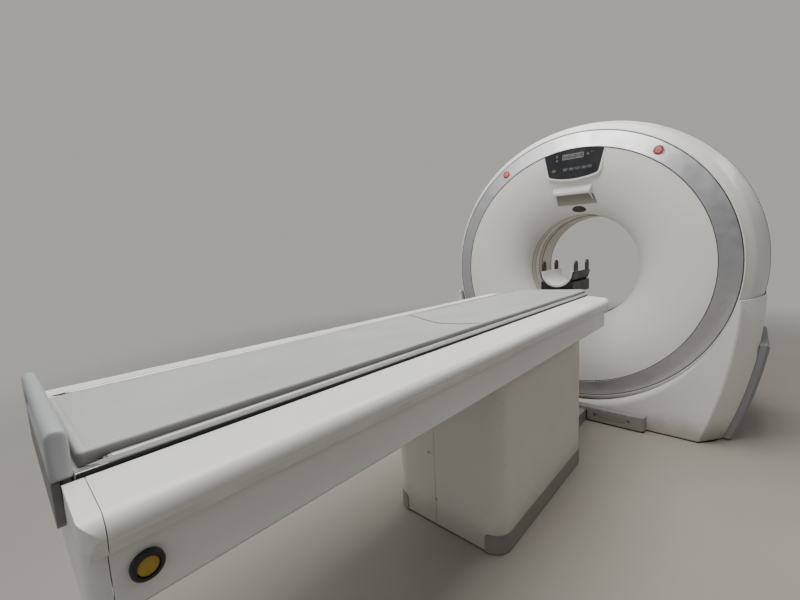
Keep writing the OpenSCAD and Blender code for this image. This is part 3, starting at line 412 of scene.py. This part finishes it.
def revolve(name, profile, material, body, steps=160):
    """Turns a closed profile of radius and forward distance about the bore."""
    bm = bmesh.new()
    rows = []
    for i in range(steps):
        q = 2 * math.pi * i / steps
        sq, cq = math.sin(q), math.cos(q)
        rows.append([bm.verts.new((ISO.x + r * sq, -a, ISO.z + r * cq)) for r, a in profile])
    for i in range(steps):
        a, b = rows[i], rows[(i + 1) % steps]
        for k in range(len(profile)):
            bm.faces.new((a[k], a[(k + 1) % len(profile)], b[(k + 1) % len(profile)], b[k]))
    ob = bm_object(name, bm, material)
    ob.modifiers.new("split", "EDGE_SPLIT").split_angle = math.radians(40)
    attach(ob, body)


# Seals and hairlines

revolve("ring_seal_inner", [(0.7350, 0.3925), (0.7384, 0.3925), (0.7384, 0.3984),
                            (0.7372, 0.3990), (0.7350, 0.3975)], black_rubber_and_shade, "drum")
revolve("ring_seal_outer", [(0.8326, 0.3650), (0.8366, 0.3650), (0.8366, 0.3722),
                            (0.8350, 0.3738), (0.8330, 0.3738)], black_rubber_and_shade, "drum")
# Forward distance and half width of each seal in the bore
BORE_SEALS = ((0.1595, 0.0012), (0.0981, 0.0010), (0.0320, 0.0012), (-0.0290, 0.0010), (-0.1995, 0.0012))
for i, (a, k) in enumerate(BORE_SEALS):
    profile = [(0.3488, a - k), (0.3520, a - k), (0.3520, a + k), (0.3488, a + k)]
    revolve(f"bore_seal_{i}", profile, black_rubber_and_shade, "drum", 120)
revolve("body_seal", [(0.9378, 0.0565), (0.9396, 0.0565), (0.9396, 0.0602), (0.9378, 0.0602)],
        black_rubber_and_shade, "drum")


# Control panel

ink = plastic("panel_print", (0.34, 0.35, 0.36), 0.5, 1500, 0.02, 0.05)
lcd_ink = plastic("display_print", (0.24, 0.25, 0.25), 0.4, 1500, 0.01, 0.02)
amber = plastic("panel_lamp", (0.55, 0.30, 0.05), 0.35, 1500, 0.02, 0.03)
# Forward distances of the panel's face, the display's face and the key marks
PANEL_A, LCD_A, KEY_A = 0.3970, 0.3976, 0.3978
# Distances up from the bore centre to the display and the row of keys
LCD_R, KEY_R = 0.6925, 0.619
lcd_screen = plastic("display_screen", (0.075, 0.077, 0.078), 0.2, 1500, 0.01, 0.02)
screen_edge = box_pts(-0.0600, LCD_R - 0.0118, 0.0600, LCD_R + 0.0150, 0.002)
border_edge = box_pts(-0.0618, LCD_R - 0.0136, 0.0618, LCD_R + 0.0168, 0.003)
plate("display_screen", screen_edge, LCD_A - 0.0004, LCD_A + 0.0004, lcd_screen)
plate("display_border", border_edge, LCD_A - 0.0004, LCD_A + 0.0006, ink, hole=screen_edge)

# Lit bars of each seven-segment figure
SEGMENTS = {"0": "abcdef", "1": "bc", "2": "abged", "4": "fgbc", "5": "afgcd", "7": "abc"}
DIGIT_STEP = 0.0088
FIGURES = (("000", -0.052), ("120", -0.018), ("754", 0.020))


def digit(name, ch, x, r, w=0.0062, h=0.0118, t=0.0014):
    bars = {"a": (x, r + h - t, x + w, r + h), "g": (x, r + h / 2 - t / 2, x + w, r + h / 2 + t / 2),
            "d": (x, r, x + w, r + t),
            "f": (x, r + h / 2, x + t, r + h), "b": (x + w - t, r + h / 2, x + w, r + h),
            "e": (x, r, x + t, r + h / 2), "c": (x + w - t, r, x + w, r + h / 2)}
    for k in SEGMENTS[ch]:
        x0, r0, x1, r1 = bars[k]
        outline = [(x0 + t * 0.2, r0), (x1, r0), (x1 - t * 0.2, r1), (x0, r1)]
        plate(f"{name}_{k}", outline, LCD_A + 0.0002, LCD_A + 0.0007, lcd_ink)


for word, x in FIGURES:
    for i, ch in enumerate(word):
        digit(f"digit_{word}_{i}", ch, x + i * DIGIT_STEP, LCD_R + 0.001)
for i, (_, x) in enumerate(FIGURES):
    plate(f"display_rule_{i}", box_pts(x, LCD_R - 0.008, x + 0.024, LCD_R - 0.0068),
          LCD_A + 0.0002, LCD_A + 0.0007, lcd_ink)


KEYS_X = (-0.115, -0.044, -0.008, 0.029, 0.066, 0.099)


def arrow(x, r, h, up):
    k = 1 if up else -1
    return [(x - h, r - k * h * 0.7), (x + h, r - k * h * 0.7), (x, r + k * h)]


for i, x in enumerate(KEYS_X):
    plate(f"key_ring_{i}", round_pts(x, KEY_R, 0.0128, 0.0104, 32), PANEL_A - 0.0003, PANEL_A + 0.0003, ink,
          hole=round_pts(x, KEY_R, 0.0114, 0.0090, 32))
    if i in (1, 2, 4, 5):
        plate(f"key_arrow_{i}", arrow(x, KEY_R, 0.0050, i in (1, 4)), KEY_A - 0.0002, KEY_A + 0.0003, ink)
    elif i == 3:
        plate("key_disc", round_pts(x, KEY_R, 0.0040), KEY_A - 0.0002, KEY_A + 0.0003, ink,
              hole=round_pts(x, KEY_R, 0.0028))
    else:
        plate("key_lamp", round_pts(x, KEY_R, 0.0046), KEY_A - 0.0002, KEY_A + 0.0003, amber)
for i, (x, r) in enumerate(((-0.098, LCD_R + 0.012), (-0.098, LCD_R - 0.012), (0.088, LCD_R + 0.002))):
    plate(f"sign_{i}", round_pts(x, r, 0.0062, n=24), PANEL_A - 0.0003, PANEL_A + 0.0003, ink,
          hole=round_pts(x, r, 0.0050, n=24))
    plate(f"sign_bar_{i}", box_pts(x - 0.0032, r - 0.0007, x + 0.0032, r + 0.0007),
          PANEL_A - 0.0003, PANEL_A + 0.0003, ink)
for i, x in enumerate((0.108, 0.117)):
    plate(f"lamp_{i}", round_pts(x, LCD_R + 0.010, 0.0016, n=16), PANEL_A - 0.0003, PANEL_A + 0.0005, amber)

# Painted shade under the visor: a thin dark skin laid on the front cover by rays along +Y

SHADE_ROWS, SHADE_COLS, SHADE_HALF = 14, 24, 0.0010
SHADE_TOP, SHADE_LOW = 0.4655, 0.4060
shade = paint("visor_painted_shade", (0.36, 0.345, 0.315), 0.5, scuffs=0.1)
# Painted shade, darkest at the top under the visor's ledge
shade.base(shade.mix(shade.map(shade.axis(2), 1.345, 1.420, 0, 1), (0.40, 0.385, 0.355), (0.20, 0.19, 0.17)))
rows = []
for k in range(SHADE_ROWS + 1):
    f = k / SHADE_ROWS
    r = SHADE_TOP + (SHADE_LOW - SHADE_TOP) * f
    row = []
    for i in range(SHADE_COLS + 1):
        x = (-0.1070 - 0.0120 * f) + (0.2140 + 0.0300 * f) * i / SHADE_COLS
        found, spot, _, _ = nodes["donut_cover"].ray_cast(face(x, r, 0.9), Vector((0, 1, 0)))
        assert found and spot.y < -0.2, "the visor is not where the shade looks for it"
        row.append((spot.x, spot.y, spot.z))
    rows.append(row)
bm = bmesh.new()
near = [[bm.verts.new((x, y - SHADE_HALF, z)) for x, y, z in row] for row in rows]
back = [[bm.verts.new((x, y + SHADE_HALF, z)) for x, y, z in row] for row in rows]
for k in range(SHADE_ROWS):
    for i in range(SHADE_COLS):
        bm.faces.new((near[k][i], near[k][i + 1], near[k + 1][i + 1], near[k + 1][i]))
        bm.faces.new((back[k][i], back[k + 1][i], back[k + 1][i + 1], back[k][i + 1]))
rim = [(0, i) for i in range(SHADE_COLS)]
rim += [(k, SHADE_COLS) for k in range(SHADE_ROWS)]
rim += [(SHADE_ROWS, i) for i in range(SHADE_COLS, 0, -1)]
rim += [(k, 0) for k in range(SHADE_ROWS, 0, -1)]
for (k, i), (k2, i2) in zip(rim, rim[1:] + rim[:1]):
    bm.faces.new((near[k][i], back[k][i], back[k2][i2], near[k2][i2]))
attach(bm_object("visor_painted_shade", bm, shade), "drum")


# Stop buttons
# Distance from the bore centre, and angle from upright in degrees
BUTTON_R, BUTTON_ANGLE = 0.786, 34.6
pale_rim = paint("button_rim", (0.70, 0.68, 0.67), 0.4, scuffs=0.1)
for side, body in ((-1, "stop_left"), (1, "stop_right")):
    q = math.radians(side * BUTTON_ANGLE) + TURN
    cx, cr = BUTTON_R * math.sin(q), BUTTON_R * math.cos(q)

    def at(x, r, a, cx=cx, cr=cr):
        return Vector((cx + x, -a, ISO.z + cr + r))

    plate(f"button_rim_{body}", round_pts(0, 0, 0.0282, n=48), 0.3845, 0.3925, pale_rim, "drum",
          round_pts(0, 0, 0.0243, n=48), at)
    plate(f"button_mark_{body}", round_pts(0, 0, 0.0100, n=32), 0.3981, 0.3987, pale_rim, body,
          round_pts(0, 0, 0.0086, n=32), at)


# Screws, painted shade in the rail channel, black strips and rubber edges

screw_steel = metal("screw_steel", (0.42, 0.41, 0.40), 0.35, (1, 1, 1), 0.08, 0.9)


def screw(name, x, y, z, body, r=0.0055, turn=0.4):
    bm = bmesh.new()
    sides = 24
    prof = ((0.0, 0.0016), (0.45, 0.0016), (0.8, 0.0012), (1.0, 0.0003), (1.0, -0.001))
    rows = []
    for k, (f, h) in enumerate(prof):
        if f == 0:
            rows.append([bm.verts.new((x, y - h, z))] * sides)
        else:
            spots = round_pts(x, z, f * r, n=sides)
            rows.append([bm.verts.new((px, y - h, pz)) for px, pz in spots])
    for k in range(len(prof) - 1):
        for i in range(sides):
            j = (i + 1) % sides
            a, b, c, d = rows[k][i], rows[k][j], rows[k + 1][j], rows[k + 1][i]
            bm.faces.new((a, c, d) if k == 0 else (a, b, c, d))
    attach(bm_object(name, bm, screw_steel), body)
    for i, q in enumerate((turn, turn + math.pi / 2)):
        c, s = math.cos(q), math.sin(q)
        corners = ((-0.55, -0.1), (0.55, -0.1), (0.55, 0.1), (-0.55, 0.1))
        pts = [(u * c * r - v * s * r, u * s * r + v * c * r) for u, v in corners]
        plate(f"{name}_slot_{i}", pts, -y + 0.0010, -y + 0.0017, black_plastic, body,
              at=lambda px, pz, a: Vector((x + px, -a, z + pz)))


screw("cover_screw_0", -0.063, -1.825, 0.308, "base")
screw("cover_screw_1", -0.033, -1.825, 0.119, "base", turn=0.9)
screw("cover_screw_2", 0.130, -0.950, 0.308, "base")


def bar(name, x0, x1, y0, y1, z0, z1, material, body):
    """A straight strip along Y with slightly rounded edges."""
    bm = bmesh.new()
    pts = box_pts(x0, z0, x1, z1, 0.0006, 2)
    n = max(2, int((y1 - y0) / 0.1))
    rows = [[bm.verts.new((x, y0 + (y1 - y0) * k / n, z)) for x, z in pts] for k in range(n + 1)]
    for k in range(n):
        for i in range(len(pts)):
            j = (i + 1) % len(pts)
            bm.faces.new((rows[k][i], rows[k][j], rows[k + 1][j], rows[k + 1][i]))
    bm.faces.new(rows[0])
    bm.faces.new(rows[-1])
    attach(bm_object(name, bm, material, smooth=False), body)


for s1, tag in ((1, "right"), (-1, "left")):
    x0, x1 = sorted((s1 * 0.2165, s1 * 0.2216))
    # Painted shade: a black strip down in the channel between rail and cradle, darkening the gap
    bar(f"channel_painted_shade_{tag}", x0, x1, -2.885, -0.880, 0.8205, 0.8240, black_rubber_and_shade, "table")
    x0, x1 = sorted((s1 * 0.2158, s1 * 0.2178))
    # A thin black strip over the side face of the cradle strip, from the rail top up
    bar(f"strip_black_face_{tag}", x0, x1, -2.8945, -0.763, 0.8260, 0.8374, black_rubber_and_shade, "cradle")
    x0, x1 = sorted((s1 * 0.2100, s1 * 0.2132))
    bar(f"strip_groove_{tag}", x0, x1, -2.8945, -2.8700, 0.8340, 0.8376, black_rubber_and_shade, "cradle")
    x0, x1 = sorted((s1 * 0.1345, s1 * 0.1372))
    bar(f"notch_edge_{tag}", x0, x1, -0.4812, -0.4660, 0.012, 0.073, black_rubber_and_shade, "base")


# Rounded handle

def rounded_copy(name, node, voxel, rounds, material, body):
    ob = bpy.data.objects.new(name, nodes[node].data.copy())
    scene.collection.objects.link(ob)
    give(ob, material)
    r = ob.modifiers.new("skin", "REMESH")
    r.mode = "VOXEL"
    r.voxel_size = voxel
    r.use_smooth_shade = True
    k = ob.modifiers.new("round", "SMOOTH")
    k.factor = 0.55
    k.iterations = rounds
    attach(ob, body)
    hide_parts(node)


rounded_copy("handle_grip", "foot_handle", 0.0024, 14, handle_grey, "cradle")


def slab(name, pts, z0, z1, material, body):
    bm = bmesh.new()
    low = [bm.verts.new((x, y, z0)) for x, y in pts]
    high = [bm.verts.new((x, y, z1)) for x, y in pts]
    bm.faces.new(low)
    bm.faces.new(high)
    for i in range(len(pts)):
        j = (i + 1) % len(pts)
        bm.faces.new((low[i], low[j], high[j], high[i]))
    ob = bm_object(name, bm, material, smooth=False)
    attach(ob, body)
    return ob


lo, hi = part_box("table_base")
inset, corner = 0.004, 0.062
base_outline = box_pts(lo.x + inset, lo.y + inset, hi.x - inset, hi.y - inset, corner, 8)
base_plate = slab("base_plate", base_outline, lo.z, hi.z, steel, "base")
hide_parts("table_base")
seal_outline = [(-0.690, -0.427), (0.690, -0.427), (0.752, -0.362), (0.782, -0.300),
                (0.782, 0.300), (0.752, 0.362), (0.690, 0.427), (-0.690, 0.427),
                (-0.752, 0.362), (-0.782, 0.300), (-0.782, -0.300), (-0.752, -0.362)]
slab("floor_seal", seal_outline, 0.0006, 0.0086, black_rubber_and_shade, "base")
for s1, tag in ((1, "right"), (-1, "left")):
    x0, x1 = sorted((s1 * 0.140, s1 * 0.444))
    slab(f"plinth_seal_{tag}", box_pts(x0, -0.474, x1, -0.428), 0.0006, 0.0088, black_rubber_and_shade, "base")


# Cradle pad

vinyl = Mat("pad_vinyl", (0.40, 0.405, 0.40), 0.46, spec=0.42)
v_cloud = vinyl.map(vinyl.noise(2.2, 3, 0.55, vinyl.scaled(1, 0.35, 1)), 0.3, 0.7)
v_base = vinyl.mix(v_cloud, (0.375, 0.38, 0.375), (0.425, 0.43, 0.425))
v_base = vinyl.mix(vinyl.map(vinyl.noise(34, 4, 0.65), 0.52, 0.75, 0, 0.35), v_base, (0.34, 0.34, 0.335))
v_streak = vinyl.noise(11, 5, 0.7, vinyl.scaled(3.0, 0.5, 1.0, rot=(0, 0, 0.12)), 0.5)
v_rub = vinyl.map(v_streak, 0.60, 0.70, 0, 0.35)
v_base = vinyl.mix(v_rub, v_base, (0.50, 0.50, 0.49))
# Painted shade: the pad's sides, which face away from the top, turn dark brown
v_base = vinyl.mix(vinyl.map(vinyl.normal(2), 0.2, 0.8, 0.75, 0.0), v_base, (0.150, 0.140, 0.125))
vinyl.base(v_base)
vinyl.rough(vinyl.map(vinyl.noise(6, 4, 0.6), 0.3, 0.7, 0.38, 0.56))
vinyl.bump(vinyl.voronoi(950), 0.22, 0.0003)
vinyl.bump(vinyl.noise(120, 3, 0.6), 0.12, 0.0006)

seam_grey = plastic("pad_piping", (0.09, 0.088, 0.084), 0.6, 700, 0.2, 0.1)
# The piping's line over the pad in x and y, and its section in y and z
SEAM = ((-0.206, -1.746), (-0.135, -1.789), (-0.020, -1.858), (0.040, -1.889),
        (0.082, -1.901), (0.139, -1.891), (0.206, -1.832))
PIPING = ((-0.0020, -0.0008), (-0.0014, 0.0010), (0.0014, 0.0010), (0.0020, -0.0008))
PIPING_STEPS = 80


def seam_y(x):
    for (x0, y0), (x1, y1) in zip(SEAM, SEAM[1:]):
        if x <= x1:
            t = max(0.0, (x - x0) / (x1 - x0))
            t = t * t * (3 - 2 * t) * 0.35 + t * 0.65
            return y0 + (y1 - y0) * t
    return SEAM[-1][1]


def make_pad():
    """The cushion, its creases and welt pressed into the mesh, with the piping across it."""
    lo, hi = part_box("cradle_pad")
    y0, y1 = lo.y + 0.0008, hi.y - 0.0008
    half = hi.x - 0.0010
    low_side, base_z = 0.8386, lo.z + 0.0006
    top_z = hi.z - 0.0004
    r_head, r_foot, r_edge = 0.058, 0.007, 0.0058
    coarse, fine, end_zone = 0.0075, 0.0016, 0.02
    seam_from, seam_to = -1.915, -1.735
    across, under = 60, 12
    ys = []
    y = y0
    while y < y1:
        ys.append(y)
        at_end = min(abs(y - y0), abs(y1 - y)) < end_zone
        y += fine if at_end or seam_from < y < seam_to else coarse
    ys.append(y1)

    def half_at(y):
        d = y1 - y
        if d < r_head:
            return half - r_head + math.sqrt(max(0.0, r_head ** 2 - (r_head - d) ** 2))
        d = y - y0
        if d < r_foot:
            return half - r_foot + math.sqrt(max(0.0, r_foot ** 2 - (r_foot - d) ** 2))
        return half

    def top(x, y, w):
        d = min(w - abs(x), y - y0, y1 - y)
        # Crown, and the fall to the far side
        z = top_z - 0.0026 * math.exp(-max(d, 0) / 0.05) - 0.0150 * ((half - x) / (2 * half)) ** 1.3
        if d < r_edge:
            z -= r_edge - math.sqrt(max(0.0, r_edge ** 2 - (r_edge - max(d, 0)) ** 2))
        # Welt along the edge, then loose waves, creases and fine ripples
        z -= 0.0009 * math.exp(-((d - 0.0105) / 0.0013) ** 2)
        z += 0.0010 * noise.noise(Vector((x * 5, y * 2.4, 0.3))) - 0.0006
        ridge = 1 - abs(noise.noise(Vector((x * 3.0 + 3, y * 9.0, 2.1))))
        z -= 0.0011 * max(0.0, ridge - 0.86) / 0.14 * (0.5 + 0.5 * noise.noise(Vector((x * 2, y * 1.5, 7))))
        z += 0.00035 * noise.noise(Vector((x * 30, y * 24, 1.3)))
        # Groove of the seam, and the fuller side behind it
        e = y - seam_y(x)
        z -= 0.0020 * math.exp(-(e / 0.0020) ** 2)
        z += 0.0009 * (1 / (1 + math.exp(-e / 0.002))) * math.exp(-max(0, e) / 0.12) - 0.0004
        return min(z, top_z)

    verts, faces = [], []
    for y in ys:
        w = max(half_at(y), 0.02)
        row = []
        inner = w - 0.0005
        tops = []
        for k in range(across + 1):
            u = -1 + 2 * k / across
            x = inner * (math.copysign(1 - (1 - abs(u)) ** 1.25, u))
            tops.append((x, top(x, y, w)))
        for x, z in tops:
            row.append((x, y, z))
        zs = tops[-1][1]
        for f, g in ((0.25, 1.0), (0.5, 1.0), (0.75, 0.998), (1.0, 0.990)):
            row.append((w * g, y, zs + (low_side - zs) * f))
        for k in range(1, under):
            x = w * 0.990 * (1 - 2 * k / under)
            row.append((x, y, base_z + 0.0102 * abs(x / 0.199) ** 3 + (0.0004 if abs(x) > 0.17 else 0)))
        for f, g in ((1.0, 0.990), (0.75, 0.998), (0.5, 1.0), (0.25, 1.0)):
            row.append((-w * g, y, tops[0][1] + (low_side - tops[0][1]) * f))
        ring = len(row)
        verts += row
    for j in range(len(ys) - 1):
        for i in range(ring):
            k = (i + 1) % ring
            faces.append((j * ring + i, j * ring + k, (j + 1) * ring + k, (j + 1) * ring + i))
    faces.append(tuple(range(ring - 1, -1, -1)))
    last = (len(ys) - 1) * ring
    faces.append(tuple(range(last, last + ring)))
    ob = mesh_object("pad_cushion", verts, faces, vinyl)
    bm = bmesh.new()
    bm.from_mesh(ob.data)
    bmesh.ops.recalc_face_normals(bm, faces=bm.faces)
    bm.to_mesh(ob.data)
    bm.free()
    ob.data.shade_smooth()
    rows = []
    for k in range(PIPING_STEPS + 1):
        x = (half - 0.006) * (2 * k / PIPING_STEPS - 1)
        y = seam_y(x)
        z = max(top(x, y - 0.007, half), top(x, y + 0.007, half)) - 0.0004
        rows.append([(x, y + dy, z + dz) for dy, dz in PIPING])
    quads = [(4 * k + i, 4 * k + (i + 1) % 4, 4 * k + 4 + (i + 1) % 4, 4 * k + 4 + i)
             for k in range(PIPING_STEPS) for i in range(4)]
    last_row = 4 * PIPING_STEPS
    ends = [(0, 1, 2, 3), tuple(range(last_row, last_row + 4))]
    seam = mesh_object("pad_seam", [v for row in rows for v in row], quads + ends, seam_grey)
    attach(seam, "cradle")
    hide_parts("cradle_pad")
    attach(ob, "cradle")


make_pad()


# Floor, lights and camera

# Colour of the studio behind the part, which the floor fades into
HORIZON = (0.43, 0.42, 0.40)
floor_mat = Mat("studio_floor", (0.325, 0.30, 0.262), 0.55, spec=0.3)
floor_cloud = floor_mat.map(floor_mat.noise(1.1, 3, 0.5), 0.3, 0.7)
floor_mat.base(floor_mat.mix(floor_cloud, (0.315, 0.29, 0.252), (0.335, 0.31, 0.272)))
floor_mat.rough(floor_mat.map(floor_mat.noise(6, 3, 0.5), 0.3, 0.7, 0.42, 0.55))
far = floor_mat.map(floor_mat.length(floor_mat.axis(0), floor_mat.axis(1), 0.0), 1.8, 6.0)
glow = floor_mat.t.nodes.new("ShaderNodeEmission")
glow.inputs[0].default_value = (*HORIZON, 1)
join = floor_mat.t.nodes.new("ShaderNodeMixShader")
floor_mat.t.links.new(far, join.inputs[0])
floor_mat.t.links.new(floor_mat.b.outputs[0], join.inputs[1])
floor_mat.t.links.new(glow.outputs[0], join.inputs[2])
surface = next(n for n in floor_mat.t.nodes if n.bl_idname == "ShaderNodeOutputMaterial")
floor_mat.t.links.new(join.outputs[0], surface.inputs[0])
bm = bmesh.new()
bmesh.ops.create_circle(bm, cap_ends=True, radius=40, segments=96)
floor = bm_object("studio_floor", bm, floor_mat)

world = bpy.data.worlds.new("studio")
scene.world = world
world.use_nodes = True
wt = world.node_tree
sky = wt.nodes.new("ShaderNodeTexCoord")
facing = wt.nodes.new("ShaderNodeVectorMath")
facing.operation = "DOT_PRODUCT"
wt.links.new(sky.outputs["Generated"], facing.inputs[0])
facing.inputs[1].default_value = Vector((-0.46, -0.38, 0.80)).normalized()
lit = wt.nodes.new("ShaderNodeMapRange")
lit.interpolation_type = "SMOOTHSTEP"
wt.links.new(facing.outputs["Value"], lit.inputs["Value"])
for k, v in (("From Min", -0.25), ("From Max", 0.80), ("To Min", 0.028), ("To Max", 0.52)):
    lit.inputs[k].default_value = v
seen = wt.nodes.new("ShaderNodeLightPath")
pick = wt.nodes.new("ShaderNodeMix")
pick.data_type = "RGBA"
wt.links.new(seen.outputs["Is Camera Ray"], pick.inputs[0])
wt.links.new(lit.outputs[0], pick.inputs[6])
pick.inputs[7].default_value = (*HORIZON, 1)
wt.links.new(pick.outputs[2], wt.nodes["Background"].inputs[0])
wt.nodes["Background"].inputs[1].default_value = 1.0


def area(name, loc, target, size, power, colour=(1, 1, 1)):
    light = bpy.data.lights.new(name, "AREA")
    light.shape = "RECTANGLE"
    light.size, light.size_y = size
    light.energy = power
    light.color = colour
    ob = bpy.data.objects.new(name, light)
    ob.location = loc
    ob.rotation_euler = (Vector(target) - Vector(loc)).to_track_quat("-Z", "Y").to_euler()
    scene.collection.objects.link(ob)


area("key", (-1.4, -2.5, 3.2), (0.0, -0.3, 1.0), (2.0, 1.6), 20, (1.0, 0.985, 0.96))
area("top_softbox", (0.0, -1.3, 3.8), (0, -1.2, 0), (2.2, 4.0), 160, (1.0, 0.985, 0.96))
area("tube", (2.6, 1.8, 3.0), (0.2, -0.2, 1.2), (2.4, 0.3), 22, (1.0, 0.99, 0.98))

# Camera place in metres and angles in radians, solved from the photograph
CAMERA_AT = Vector((0.85942, -2.94237, 1.10453))
yaw, pitch, roll = 0.748, -0.12, -0.05
fw = Vector((-math.sin(yaw) * math.cos(pitch), math.cos(yaw) * math.cos(pitch), math.sin(pitch)))
rt = Vector((math.cos(yaw), math.sin(yaw), 0))
up = rt.cross(fw)
rt2 = rt * math.cos(roll) + up * math.sin(roll)
up2 = up * math.cos(roll) - rt * math.sin(roll)
cam_data = bpy.data.cameras.new("camera")
cam_data.sensor_width = 36.0
cam_data.lens = 17.1
cam_data.clip_start = 0.02
cam = bpy.data.objects.new("camera", cam_data)
rot = Matrix((rt2, up2, -fw)).transposed().to_4x4()
cam.matrix_world = Matrix.Translation(CAMERA_AT) @ rot
scene.collection.objects.link(cam)
scene.camera = cam
